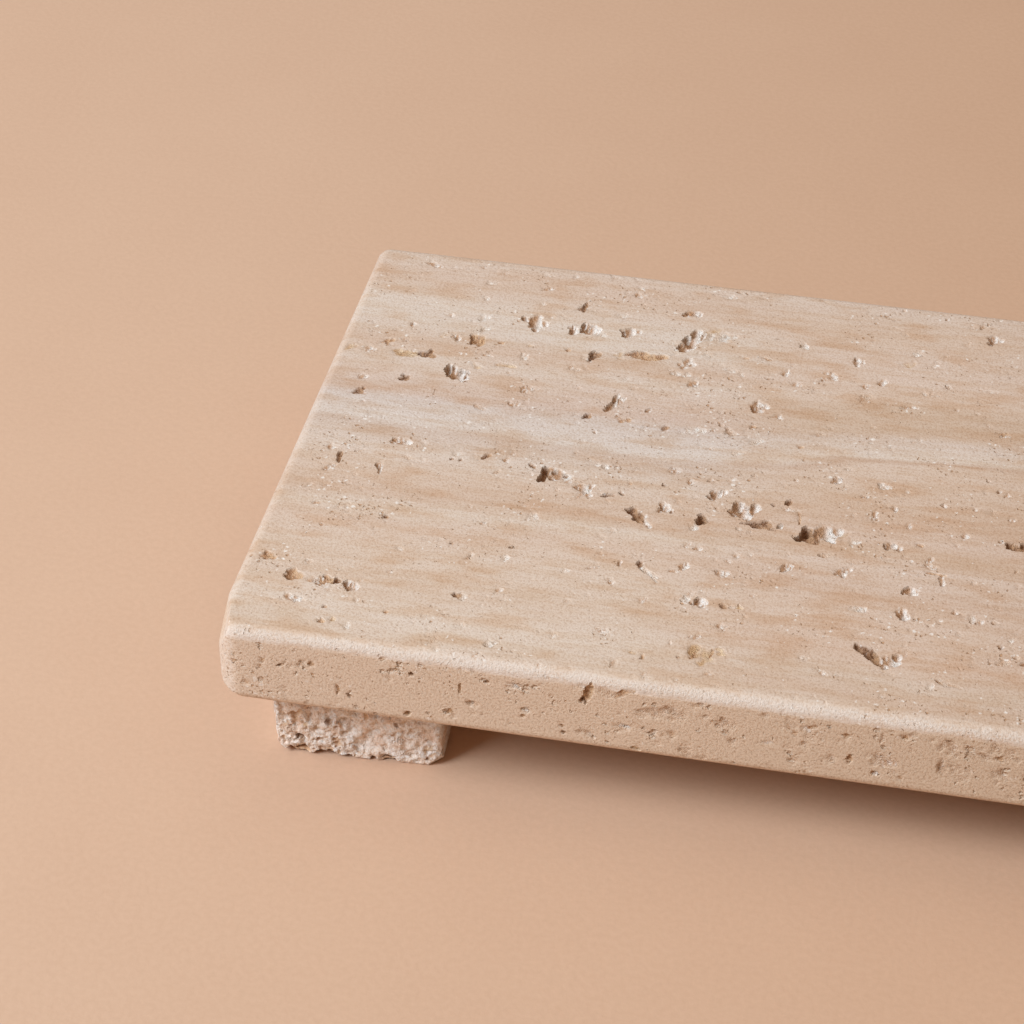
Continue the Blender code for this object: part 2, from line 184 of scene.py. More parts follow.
# The voids that the honed top shows, back edge first, as shares of the slab's length and depth,
# then of the largest void
TOP_VOID_SHARES = (
    Void(0.270, 0.903, 0.38, 0.25, 0.17, CALCITE, 0.02),
    Void(0.182, 0.887, 0.33, 0.13, 0.13, UMBER, 0.21),
    Void(0.148, 0.827, 0.50, 0.36, 0.17, CALCITE, 0.86),
    Void(0.180, 0.819, 0.29, 0.21, 0.17, CALCITE, 0.25),
    Void(0.193, 0.823, 0.42, 0.38, 0.25, CALCITE),
    Void(0.224, 0.830, 0.33, 0.29, 0.21, CALCITE, 0.15),
    Void(0.275, 0.827, 0.67, 0.33, 0.29, CALCITE, 0.17),
    Void(0.297, 0.840, 0.50, 0.42, 0.06, CHALK),
    Void(0.290, 0.860, 0.30, 0.20, 0.05, OCHRE),
    Void(0.106, 0.823, 0.22, 0.16, 0.08, CHALK, 0.10),
    Void(0.508, 0.925, 0.29, 0.25, 0.20, CALCITE, 0.75),
    Void(0.405, 0.822, 0.25, 0.18, 0.13, CALCITE, 0.14),
    Void(0.444, 0.831, 0.25, 0.15, 0.04, OCHRE),
    Void(0.108, 0.760, 0.38, 0.25, 0.17, IRON, 0.25),
    Void(0.092, 0.760, 0.29, 0.13, 0.10, CALCITE, 0.83),
    Void(0.079, 0.760, 0.20, 0.15, 0.06, OCHRE, 0.20),
    Void(0.127, 0.760, 0.17, 0.12, 0.06, IRON),
    Void(0.150, 0.762, 0.20, 0.10, 0.04, OCHRE),
    Void(0.137, 0.701, 0.46, 0.15, 0.08, OCHRE),
    Void(0.115, 0.690, 0.20, 0.20, 0.05, OCHRE),
    Void(0.181, 0.762, 0.13, 0.13, 0.10, IRON),
    Void(0.203, 0.757, 0.33, 0.25, 0.17, UMBER, 0.17),
    Void(0.222, 0.763, 0.40, 0.20, 0.07, OCHRE),
    Void(0.243, 0.767, 0.75, 0.29, 0.15, IRON, 0.01),
    Void(0.275, 0.763, 0.33, 0.33, 0.13, CALCITE),
    Void(0.302, 0.763, 0.50, 0.25, 0.05, CHALK),
    Void(0.285, 0.730, 0.17, 0.17, 0.06, CHALK),
    Void(0.073, 0.707, 0.29, 0.25, 0.29, UMBER),
    Void(0.057, 0.702, 0.67, 0.21, 0.13, OCHRE, 0.02),
    Void(0.026, 0.703, 0.25, 0.20, 0.10, CALCITE, 0.10),
    Void(0.012, 0.702, 0.25, 0.20, 0.05, OCHRE),
    Void(0.038, 0.730, 0.21, 0.17, 0.10, IRON),
    Void(0.102, 0.663, 0.46, 0.46, 0.38, CALCITE),
    Void(0.064, 0.637, 0.22, 0.20, 0.15, UMBER, 0.25),
    Void(0.033, 0.589, 0.25, 0.21, 0.13, UMBER, 0.25),
    Void(0.228, 0.630, 0.58, 0.18, 0.17, CALCITE, 0.19),
    Void(0.212, 0.595, 0.19, 0.17, 0.15, UMBER),
    Void(0.239, 0.597, 0.25, 0.21, 0.08, IRON),
    Void(0.272, 0.590, 0.21, 0.17, 0.10, UMBER, 0.20),
    Void(0.293, 0.593, 0.42, 0.25, 0.07, CHALK),
    Void(0.338, 0.670, 0.42, 0.25, 0.17, CALCITE, 0.19),
    Void(0.343, 0.580, 0.25, 0.21, 0.08, CHALK),
    Void(0.376, 0.583, 0.17, 0.08, 0.08, IRON),
    Void(0.388, 0.770, 0.33, 0.33, 0.08, CALCITE),
    Void(0.362, 0.742, 0.21, 0.17, 0.10, CALCITE, 0.10),
    Void(0.352, 0.770, 0.21, 0.17, 0.10, CALCITE, 0.20),
    Void(0.415, 0.760, 0.21, 0.17, 0.08, CALCITE, 0.10),
    Void(0.427, 0.773, 0.21, 0.21, 0.08, CALCITE, 0.15),
    Void(0.319, 0.797, 0.20, 0.08, 0.06, IRON),
    Void(0.335, 0.802, 0.25, 0.06, 0.05, IRON, 0.93),
    Void(0.478, 0.783, 0.17, 0.10, 0.07, BARE, 0.90),
    Void(0.524, 0.678, 0.17, 0.09, 0.08, IRON),
    # The slab's middle, where the largest voids follow the bedding
    Void(0.408, 0.511, 0.25, 0.21, 0.13, CALCITE, 0.15),
    Void(0.431, 0.482, 0.17, 0.15, 0.10, CALCITE),
    Void(0.453, 0.461, 0.14, 0.12, 0.10, CALCITE),
    Void(0.082, 0.475, 0.42, 0.21, 0.17, CALCITE, 0.98),
    Void(0.147, 0.465, 0.21, 0.13, 0.15, UMBER, 0.10),
    Void(0.140, 0.457, 0.21, 0.20, 0.05, CHALK),
    Void(0.129, 0.448, 0.09, 0.08, 0.08, UMBER),
    Void(0.122, 0.448, 0.09, 0.08, 0.08, UMBER),
    Void(0.183, 0.455, 0.15, 0.13, 0.15, UMBER),
    Void(0.193, 0.440, 0.42, 0.17, 0.33, UMBER, 0.25),
    Void(0.207, 0.440, 0.50, 0.33, 0.15, CALCITE, 0.95),
    Void(0.210, 0.442, 0.10, 0.10, 0.25, UMBER),
    Void(0.225, 0.417, 0.42, 0.25, 0.13, CALCITE, 0.94),
    Void(0.227, 0.480, 0.33, 0.25, 0.05, CHALK),
    Void(0.039, 0.417, 0.38, 0.09, 0.12, UMBER, 0.25),
    Void(0.053, 0.440, 0.18, 0.08, 0.08, BARE, 0.10),
    Void(0.072, 0.405, 0.33, 0.11, 0.12, CALCITE, 0.28),
    Void(0.244, 0.407, 0.25, 0.08, 0.20, UMBER, 0.05),
    Void(0.255, 0.414, 0.17, 0.08, 0.20, UMBER, 0.90),
    Void(0.283, 0.447, 0.10, 0.08, 0.15, UMBER, 0.97),
    Void(0.289, 0.485, 0.27, 0.21, 0.13, CALCITE, 0.02),
    Void(0.289, 0.395, 0.29, 0.24, 0.13, CALCITE),
    Void(0.268, 0.370, 0.48, 0.21, 0.25, UMBER, 0.86),
    Void(0.276, 0.356, 0.40, 0.18, 0.10, CALCITE, 0.86),
    Void(0.323, 0.442, 0.33, 0.21, 0.21, CALCITE, 0.19),
    Void(0.318, 0.377, 0.27, 0.23, 0.42, UMBER, 0.90),
    Void(0.312, 0.358, 0.22, 0.20, 0.06, CHALK),
    Void(0.345, 0.410, 0.44, 0.44, 0.29, CALCITE),
    Void(0.358, 0.383, 0.62, 0.19, 0.25, UMBER),
    Void(0.374, 0.384, 0.15, 0.15, 0.20, CHALK),
    Void(0.366, 0.434, 0.11, 0.08, 0.20, UMBER, 0.95),
    Void(0.376, 0.443, 0.21, 0.13, 0.17, UMBER, 0.17),
    Void(0.375, 0.427, 0.25, 0.17, 0.06, CALCITE),
    Void(0.386, 0.413, 0.42, 0.06, 0.06, IRON, 0.29),
    Void(0.395, 0.368, 0.38, 0.38, 0.42, UMBER, 0.12),
    Void(0.407, 0.386, 0.44, 0.46, 0.22, CALCITE, 0.20),
    Void(0.418, 0.385, 0.30, 0.20, 0.05, OCHRE),
    Void(0.427, 0.370, 0.33, 0.15, 0.04, CHALK),
    Void(0.455, 0.373, 0.33, 0.21, 0.21, CALCITE, 0.05),
    Void(0.440, 0.440, 0.33, 0.13, 0.10, CALCITE, 0.28),
    Void(0.476, 0.382, 0.14, 0.10, 0.08, IRON),
    Void(0.484, 0.350, 0.17, 0.12, 0.10, CALCITE, 0.20),
    Void(0.488, 0.322, 0.38, 0.06, 0.08, IRON),
    Void(0.495, 0.305, 0.33, 0.10, 0.10, CALCITE, 0.80),
    # Nearer the front edge
    Void(0.474, 0.275, 0.33, 0.25, 0.20, CALCITE, 0.95),
    Void(0.471, 0.220, 0.29, 0.23, 0.20, CALCITE, 0.90),
    Void(0.454, 0.127, 0.67, 0.25, 0.33, UMBER, 0.86),
    Void(0.468, 0.117, 0.42, 0.33, 0.17, CALCITE, 0.10),
    Void(0.465, 0.095, 0.30, 0.20, 0.05, OCHRE),
    Void(0.281, 0.260, 0.15, 0.12, 0.15, UMBER, 0.80),
    Void(0.288, 0.243, 0.50, 0.12, 0.07, CHALK, 0.87),
    Void(0.267, 0.255, 0.17, 0.10, 0.10, CALCITE, 0.20),
    Void(0.265, 0.209, 0.14, 0.12, 0.08, CALCITE),
    Void(0.312, 0.267, 0.25, 0.18, 0.12, CALCITE),
    Void(0.339, 0.259, 0.25, 0.20, 0.13, CALCITE),
    Void(0.319, 0.310, 0.20, 0.15, 0.12, CALCITE),
    Void(0.357, 0.311, 0.13, 0.13, 0.05, CHALK),
    Void(0.384, 0.292, 0.25, 0.17, 0.12, CALCITE, 0.10),
    Void(0.424, 0.299, 0.27, 0.24, 0.11, CALCITE),
    Void(0.329, 0.192, 0.29, 0.23, 0.20, CALCITE, 0.20),
    Void(0.346, 0.189, 0.14, 0.12, 0.13, UMBER),
    Void(0.353, 0.190, 0.20, 0.15, 0.06, CHALK),
    Void(0.358, 0.191, 0.17, 0.12, 0.10, OCHRE),
    Void(0.342, 0.083, 0.70, 0.42, 0.11, OCHRE),
    Void(0.335, 0.083, 0.34, 0.07, 0.14, IRON, 0.20),
    Void(0.346, 0.085, 0.30, 0.07, 0.14, IRON, 0.22),
    Void(0.267, 0.102, 0.25, 0.17, 0.08, CALCITE, 0.90),
    Void(0.292, 0.065, 0.13, 0.10, 0.06, OCHRE),
    Void(0.300, 0.060, 0.17, 0.06, 0.08, IRON, 0.25),
    Void(0.324, 0.069, 0.09, 0.08, 0.08, UMBER),
    Void(0.018, 0.169, 0.25, 0.18, 0.12, IRON),
    Void(0.043, 0.134, 0.38, 0.25, 0.17, IRON),
    Void(0.057, 0.130, 0.40, 0.22, 0.11, CALCITE),
    Void(0.067, 0.135, 0.25, 0.17, 0.13, IRON),
    Void(0.074, 0.135, 0.18, 0.18, 0.20, UMBER),
    Void(0.085, 0.125, 0.29, 0.21, 0.17, CALCITE, 0.90),
    Void(0.048, 0.083, 0.42, 0.15, 0.10, CALCITE, 0.96),
    Void(0.072, 0.075, 0.13, 0.10, 0.10, UMBER),
    Void(0.116, 0.081, 0.11, 0.10, 0.08, IRON, 0.25),
    Void(0.074, 0.043, 0.15, 0.13, 0.10, IRON),
    Void(0.081, 0.050, 0.14, 0.12, 0.08, OCHRE),
    Void(0.160, 0.136, 0.14, 0.16, 0.12, UMBER, 0.25),
    Void(0.166, 0.134, 0.25, 0.15, 0.06, CHALK),
    Void(0.502, 0.090, 0.21, 0.06, 0.06, IRON, 0.90),
    Void(0.512, 0.086, 0.42, 0.05, 0.06, IRON, 0.97),
    Void(0.423, 0.075, 0.17, 0.13, 0.08, CALCITE),
    Void(0.004, 0.450, 0.20, 0.10, 0.10, BARE, 0.25),
    # The smaller ones, back edge first
    Void(0.502, 0.968, 0.11, 0.10, 0.08, BARE),
    Void(0.469, 0.967, 0.11, 0.10, 0.08, CALCITE),
    Void(0.434, 0.980, 0.11, 0.10, 0.08, BARE),
    Void(0.487, 0.725, 0.10, 0.09, 0.08, CALCITE),
    Void(0.503, 0.720, 0.10, 0.09, 0.08, BARE),
    Void(0.354, 0.653, 0.17, 0.15, 0.08, CALCITE),
    Void(0.256, 0.627, 0.14, 0.12, 0.08, CALCITE, 0.10),
    Void(0.313, 0.613, 0.12, 0.10, 0.08, BARE),
    Void(0.337, 0.620, 0.14, 0.10, 0.10, IRON),
    Void(0.221, 0.558, 0.10, 0.10, 0.08, CALCITE),
    Void(0.518, 0.555, 0.11, 0.10, 0.10, BARE),
    Void(0.527, 0.532, 0.12, 0.10, 0.10, CALCITE, 0.20),
    Void(0.533, 0.525, 0.13, 0.10, 0.08, CALCITE),
    Void(0.347, 0.497, 0.10, 0.09, 0.08, BARE),
    Void(0.378, 0.500, 0.11, 0.09, 0.08, CALCITE),
    Void(0.488, 0.483, 0.12, 0.11, 0.10, CALCITE),
    Void(0.511, 0.481, 0.11, 0.10, 0.08, CALCITE),
    Void(0.539, 0.467, 0.13, 0.11, 0.10, CALCITE, 0.10),
    Void(0.316, 0.471, 0.13, 0.09, 0.08, BARE, 0.05),
    Void(0.258, 0.442, 0.11, 0.09, 0.08, IRON),
    Void(0.533, 0.413, 0.12, 0.10, 0.10, CALCITE),
    Void(0.546, 0.351, 0.12, 0.10, 0.10, BARE, 0.10),
    Void(0.036, 0.303, 0.14, 0.09, 0.10, IRON),
    Void(0.090, 0.291, 0.13, 0.11, 0.13, UMBER),
    Void(0.161, 0.303, 0.12, 0.10, 0.08, CALCITE),
    Void(0.047, 0.255, 0.12, 0.10, 0.08, CALCITE),
    Void(0.144, 0.250, 0.09, 0.08, 0.10, UMBER),
    Void(0.187, 0.258, 0.09, 0.08, 0.10, UMBER),
    Void(0.507, 0.241, 0.14, 0.12, 0.10, CALCITE),
    Void(0.525, 0.228, 0.17, 0.10, 0.08, CALCITE, 0.10),
    Void(0.535, 0.229, 0.15, 0.11, 0.10, BARE),
    Void(0.541, 0.179, 0.14, 0.12, 0.12, CALCITE, 0.10),
    Void(0.552, 0.162, 0.14, 0.11, 0.12, BARE),
    # The slab's far half, from left to right
    Void(0.545, 0.405, 0.40, 0.22, 0.30, UMBER, 0.02),
    Void(0.556, 0.418, 0.34, 0.25, 0.12, CALCITE, 0.10),
    Void(0.575, 0.150, 0.70, 0.22, 0.25, IRON, 0.01),
    Void(0.590, 0.160, 0.34, 0.20, 0.10, CALCITE, 0.05),
    Void(0.590, 0.640, 0.30, 0.26, 0.25, CALCITE, 0.10),
    Void(0.625, 0.352, 0.50, 0.30, 0.35, CALCITE, 0.97),
    Void(0.612, 0.345, 0.25, 0.20, 0.40, UMBER, 0.10),
    Void(0.640, 0.780, 0.85, 0.24, 0.20, OCHRE),
    Void(0.665, 0.232, 0.28, 0.25, 0.30, CALCITE, 0.20),
    Void(0.690, 0.520, 0.36, 0.14, 0.20, UMBER, 0.20),
    Void(0.715, 0.885, 0.33, 0.27, 0.22, CALCITE, 0.05),
    Void(0.735, 0.398, 0.62, 0.22, 0.28, UMBER, 0.99),
    Void(0.752, 0.405, 0.40, 0.28, 0.10, CALCITE),
    Void(0.760, 0.118, 0.38, 0.33, 0.25, CALCITE, 0.15),
    Void(0.785, 0.690, 0.42, 0.38, 0.33, CALCITE),
    Void(0.815, 0.300, 0.30, 0.22, 0.22, UMBER, 0.88),
    Void(0.840, 0.560, 0.24, 0.22, 0.18, CALCITE, 0.30),
    Void(0.865, 0.815, 0.60, 0.20, 0.17, IRON, 0.02),
    Void(0.880, 0.187, 0.46, 0.20, 0.25, OCHRE, 0.97),
    Void(0.905, 0.430, 0.36, 0.30, 0.30, CALCITE, 0.10),
    Void(0.940, 0.655, 0.27, 0.18, 0.15, CALCITE, 0.21),
)
# Those of its other sides, as shares of the side's length and height, then of the largest void
FRONT_VOID_SHARES = (
    Void(0.143, 0.715, 0.10, 0.10, 0.16, UMBER),
    Void(0.268, 0.790, 0.48, 0.13, 0.14, IRON, 0.19),
    Void(0.264, 0.680, 0.13, 0.11, 0.19, UMBER),
    Void(0.293, 0.850, 0.46, 0.12, 0.06, IRON, 0.11),
    Void(0.290, 0.565, 0.09, 0.08, 0.06, BARE),
    Void(0.313, 0.365, 0.17, 0.12, 0.08, BARE, 0.05),
    Void(0.303, 0.110, 0.17, 0.10, 0.10, OCHRE),
    Void(0.250, 0.290, 0.10, 0.09, 0.08, IRON),
    Void(0.251, 0.205, 0.10, 0.09, 0.08, UMBER),
    Void(0.222, 0.350, 0.11, 0.09, 0.08, IRON),
    Void(0.319, 0.925, 0.10, 0.08, 0.08, IRON),
    Void(0.235, 0.950, 0.10, 0.08, 0.06, IRON),
    Void(0.238, 0.915, 0.10, 0.09, 0.08, IRON, 0.10),
    Void(0.123, 0.880, 0.17, 0.08, 0.06, IRON, 0.05),
    Void(0.170, 0.275, 0.18, 0.10, 0.08, IRON, 0.17),
    Void(0.185, 0.425, 0.16, 0.14, 0.08, BARE, 0.20),
    Void(0.140, 0.160, 0.15, 0.12, 0.10, IRON, 0.20),
    Void(0.098, 0.295, 0.10, 0.09, 0.10, UMBER),
    Void(0.090, 0.375, 0.27, 0.09, 0.08, IRON, 0.79),
    Void(0.071, 0.660, 0.14, 0.11, 0.08, IRON, 0.10),
    Void(0.049, 0.595, 0.21, 0.06, 0.08, UMBER, 0.07),
    Void(0.036, 0.615, 0.13, 0.12, 0.06, IRON, 0.20),
    Void(0.034, 0.530, 0.13, 0.08, 0.06, IRON, 0.10),
    Void(0.014, 0.555, 0.17, 0.12, 0.10, IRON, 0.10),
    Void(0.015, 0.650, 0.13, 0.10, 0.08, OCHRE, 0.20),
    Void(0.178, 0.625, 0.26, 0.07, 0.06, IRON, 0.25),
    Void(0.197, 0.750, 0.14, 0.09, 0.08, UMBER, 0.07),
    Void(0.132, 0.750, 0.12, 0.08, 0.06, IRON, 0.08),
    Void(0.410, 0.640, 0.13, 0.12, 0.06, IRON, 0.20),
    Void(0.422, 0.740, 0.26, 0.07, 0.06, IRON, 0.05),
    Void(0.446, 0.690, 0.14, 0.12, 0.10, IRON, 0.10),
    Void(0.449, 0.385, 0.15, 0.14, 0.10, IRON, 0.10),
    Void(0.470, 0.725, 0.21, 0.08, 0.08, BARE, 0.25),
    Void(0.485, 0.775, 0.14, 0.12, 0.08, IRON),
    Void(0.475, 0.400, 0.30, 0.25, 0.06, CALCITE),
    Void(0.467, 0.240, 0.14, 0.12, 0.10, CALCITE),
    Void(0.511, 0.450, 0.34, 0.09, 0.08, BARE, 0.24),
    Void(0.549, 0.665, 0.14, 0.12, 0.08, IRON),
    Void(0.640, 0.520, 0.50, 0.14, 0.16, IRON, 0.98),
    Void(0.770, 0.340, 0.30, 0.18, 0.16, CALCITE, 0.06),
    Void(0.885, 0.640, 0.38, 0.14, 0.14, IRON, 0.02),
)
BACK_VOID_SHARES = (
    Void(0.130, 0.480, 0.46, 0.14, 0.17, IRON, 0.99),
    Void(0.310, 0.620, 0.25, 0.20, 0.17, CALCITE, 0.10),
    Void(0.480, 0.380, 0.50, 0.16, 0.17, UMBER, 0.02),
    Void(0.690, 0.560, 0.33, 0.22, 0.20, CALCITE, 0.96),
    Void(0.860, 0.430, 0.38, 0.14, 0.15, IRON, 0.03),
)
END_VOID_SHARES = (
    Void(0.240, 0.580, 0.38, 0.14, 0.15, IRON, 0.01),
    Void(0.520, 0.420, 0.27, 0.20, 0.17, CALCITE, 0.08),
    Void(0.780, 0.600, 0.46, 0.16, 0.17, UMBER, 0.98),
)
UNDERSIDE_VOID_SHARES = (
    Void(0.230, 0.520, 0.70, 0.24, 0.25, IRON, 0.01),
    Void(0.345, 0.280, 0.33, 0.28, 0.25, CALCITE, 0.15),
    Void(0.410, 0.700, 0.46, 0.22, 0.20, UMBER, 0.97),
    Void(0.520, 0.430, 0.38, 0.33, 0.30, CALCITE, 0.05),
    Void(0.600, 0.820, 0.50, 0.18, 0.17, OCHRE, 0.99),
    Void(0.640, 0.560, 0.30, 0.25, 0.21, CALCITE, 0.20),
    Void(0.760, 0.450, 0.62, 0.25, 0.25, IRON, 0.02),
)

# The linings of small pits, which are drawn at random
PALE = (CHALK, CHALK, CALCITE, CALCITE, BARE)
SANDY = (BARE, BARE, CHALK, IRON)


def long_side_scatters(side: Side) -> tuple[Scatter, ...]:
    """Give the pits of a long side: those all over it, broad ones, and a row under the arris.

    Args:
        side: The slab's front or its back.

    Returns:
        The scatters, in drawing order.
    """
    return (
        Scatter(side, 210, (0.9 * MM, 2.4 * MM), SANDY, (0.16, 0.38)),
        Scatter(side, 90, (2.2 * MM, 5.0 * MM), (BARE,), (0.10, 0.24), (0.28, 0.98)),
        Scatter(side, 60, (0.8 * MM, 1.8 * MM), SANDY, (0.14, 0.30), (0.02, 0.98), (0.80, 0.93)),
    )


SLAB_SCATTERS = (
    Scatter(Side.TOP, 700, (0.9 * MM, 2.6 * MM), PALE),
    Scatter(Side.TOP, 110, (0.8 * MM, 1.7 * MM), PALE, rise=(0.006, 0.022)),
    Scatter(Side.TOP, 110, (0.8 * MM, 1.7 * MM), PALE, rise=(0.978, 0.994)),
    Scatter(Side.UNDERSIDE, 160, (1.2 * MM, 3.4 * MM), PALE),
    *long_side_scatters(Side.FRONT),
    *long_side_scatters(Side.BACK),
    Scatter(Side.LEFT, 110, (0.9 * MM, 2.2 * MM), SANDY, (0.14, 0.34)),
    Scatter(Side.RIGHT, 110, (0.9 * MM, 2.2 * MM), SANDY, (0.14, 0.34)),
)

# The four sides of a foot's strip of stone, its most open side first, as shares of the side and
# of the largest void in a foot
FOOT_VOID_SHARES = {
    Side.FRONT: (
        Void(0.150, 0.255, 0.40, 0.30, 0.60, UMBER, 0.95),
        Void(0.330, 0.470, 0.28, 0.24, 0.50, UMBER, 0.30),
        Void(0.400, 0.490, 0.30, 0.28, 0.30, IRON, 0.70),
        Void(0.268, 0.240, 0.34, 0.26, 0.30, IRON, 0.15),
        Void(0.366, 0.250, 0.40, 0.20, 0.25, IRON, 0.12),
        Void(0.205, 0.140, 0.26, 0.24, 0.25, UMBER, 0.25),
        Void(0.053, 0.220, 0.26, 0.22, 0.20, IRON, 0.20),
        Void(0.553, 0.245, 0.34, 0.24, 0.22, IRON, 0.08),
        Void(0.732, 0.540, 0.22, 0.18, 0.30, UMBER, 0.90),
        Void(0.885, 0.460, 0.66, 0.20, 0.22, BARE, 0.06),
        Void(0.415, 0.400, 1.00, 0.22, 0.18, CALCITE, 0.85),
        Void(0.905, 0.220, 0.60, 0.40, 0.14, OCHRE, 0.10),
        Void(0.912, 0.100, 0.24, 0.20, 0.24, UMBER, 0.10),
        Void(0.140, 0.570, 0.60, 0.34, 0.34, IRON, 0.10),
        Void(0.060, 0.400, 0.60, 0.20, 0.20, IRON, 0.12),
        Void(0.250, 0.365, 0.44, 0.22, 0.24, OCHRE, 0.12),
        Void(0.190, 0.420, 0.30, 0.20, 0.18, OCHRE, 0.20),
        Void(0.500, 0.740, 0.60, 0.28, 0.24, IRON, 0.04),
        Void(0.620, 0.740, 0.40, 0.28, 0.20, IRON, 0.04),
        Void(0.230, 0.760, 0.70, 0.30, 0.36, UMBER, 0.02),
        Void(0.060, 0.700, 0.50, 0.30, 0.24, BARE, 0.20),
    ),
    Side.RIGHT: (
        Void(0.300, 0.620, 0.44, 0.20, 0.20, BARE, 0.02),
        Void(0.680, 0.380, 0.36, 0.22, 0.24, IRON, 0.98),
    ),
    Side.BACK: (
        Void(0.220, 0.340, 0.50, 0.34, 0.40, UMBER, 0.04),
        Void(0.460, 0.660, 0.40, 0.24, 0.30, IRON, 0.94),
        Void(0.640, 0.280, 0.34, 0.30, 0.36, CALCITE, 0.20),
        Void(0.800, 0.560, 0.56, 0.26, 0.30, IRON),
    ),
    Side.LEFT: (
        Void(0.250, 0.480, 0.40, 0.26, 0.30, IRON, 0.08),
        Void(0.570, 0.320, 0.60, 0.24, 0.26, UMBER, 0.98),
        Void(0.790, 0.660, 0.30, 0.24, 0.28, CALCITE, 0.25),
    ),
}
FOOT_LININGS = (BARE, BARE, IRON, CALCITE)
FOOT_PIT_SIZES = (0.6 * MM, 2.6 * MM)
FOOT_SCATTERS = (
    Scatter(Side.FRONT, 190, FOOT_PIT_SIZES, FOOT_LININGS),
    Scatter(Side.BACK, 130, FOOT_PIT_SIZES, FOOT_LININGS),
    Scatter(Side.LEFT, 100, FOOT_PIT_SIZES, FOOT_LININGS),
    Scatter(Side.RIGHT, 40, FOOT_PIT_SIZES, FOOT_LININGS),
    Scatter(Side.UNDERSIDE, 60, FOOT_PIT_SIZES, FOOT_LININGS),
    Scatter(Side.FRONT, 34, (1.2 * MM, 3.2 * MM), (UMBER, IRON, BARE, CALCITE), reach=(0.02, 0.45)),
)

# The facets of a worn front corner of the slab, lowest first: the way that each looks, along the
# front, out of it and up, and its depth under the sharp corner as a share of the corner's radius
WORN_FACETS = (
    ((0.36, 0.63, -0.69), 0.54),
    ((0.65, 0.55, -0.52), 0.64),
    ((0.87, 0.41, -0.29), 0.52),
    ((0.62, 0.60, 0.50), 0.60),
    ((0.80, 0.40, 0.45), 0.60),
    ((0.92, 0.22, 0.33), 0.66),
)
# Those of a foot, whose one facet at each lower front corner is a share of the arris deep
FOOT_FACETS = (((1.0, 1.0, -1.0), 2.6),)
# Bites out of the lower edge of a foot's most open side: place, length and height
FOOT_BITE_SHARES = (
    (0.100, 2.80, 0.20),
    (0.095, 0.50, 0.30),
    (0.305, 1.10, 0.36),
    (0.440, 1.20, 0.13),
    (0.585, 0.34, 0.22),
    (0.700, 0.90, 0.16),
)


def linear(hex_colour: str) -> tuple[float, float, float, float]:
    """Turn an sRGB hex colour into the linear one that a shader socket takes.

    Args:
        hex_colour: The colour as "#RRGGBB".

    Returns:
        Its linear red, green and blue, and an alpha of 1.
    """
    shares = [int(hex_colour[start : start + 2], 16) / 255.0 for start in (1, 3, 5)]
    channels = [s / 12.92 if s <= 0.04045 else ((s + 0.055) / 1.055) ** 2.4 for s in shares]
    return (*channels, 1.0)


def smooth_step(values: np.ndarray, low: float, high: float) -> np.ndarray:
    """Return 0 below low and 1 above high, and 3t² - 2t³ of the share t of the way between."""
    share = np.clip((values - low) / (high - low), 0.0, 1.0)
    return share * share * (3.0 - 2.0 * share)


def stone_noise(points: np.ndarray, cell: float, seed: int, channels: int = 1) -> np.ndarray:
    """Return smooth random values at points.

    Random values sit on a cubic lattice, and between its corners the noise is their mean, weighted
    by 3t² - 2t³ of the share t of the way across the cell along each axis.

    Args:
        points: Where to read the noise, one row each.
        cell: The side of a cell of the lattice.
        seed: What the lattice's values are drawn from.
        channels: How many values to return for each point.

    Returns:
        One row for each point, of values from -1 to 1.
    """
    corners = 64
    draw = np.random.default_rng(seed)
    lattice = draw.uniform(-1.0, 1.0, (corners, corners, corners, channels)).astype(np.float32)
    place = points / cell
    low = np.floor(place)
    share = (place - low).astype(np.float32)
    share = share * share * (3.0 - 2.0 * share)
    low = low.astype(np.int32)
    noise = np.zeros((len(points), channels), np.float32)
    for step in np.ndindex(2, 2, 2):
        corner = (low + step) % corners
        weight = np.where(step, share, 1.0 - share).prod(axis=1, keepdims=True)
        noise += weight * lattice[corner[:, 0], corner[:, 1], corner[:, 2]]
    return noise


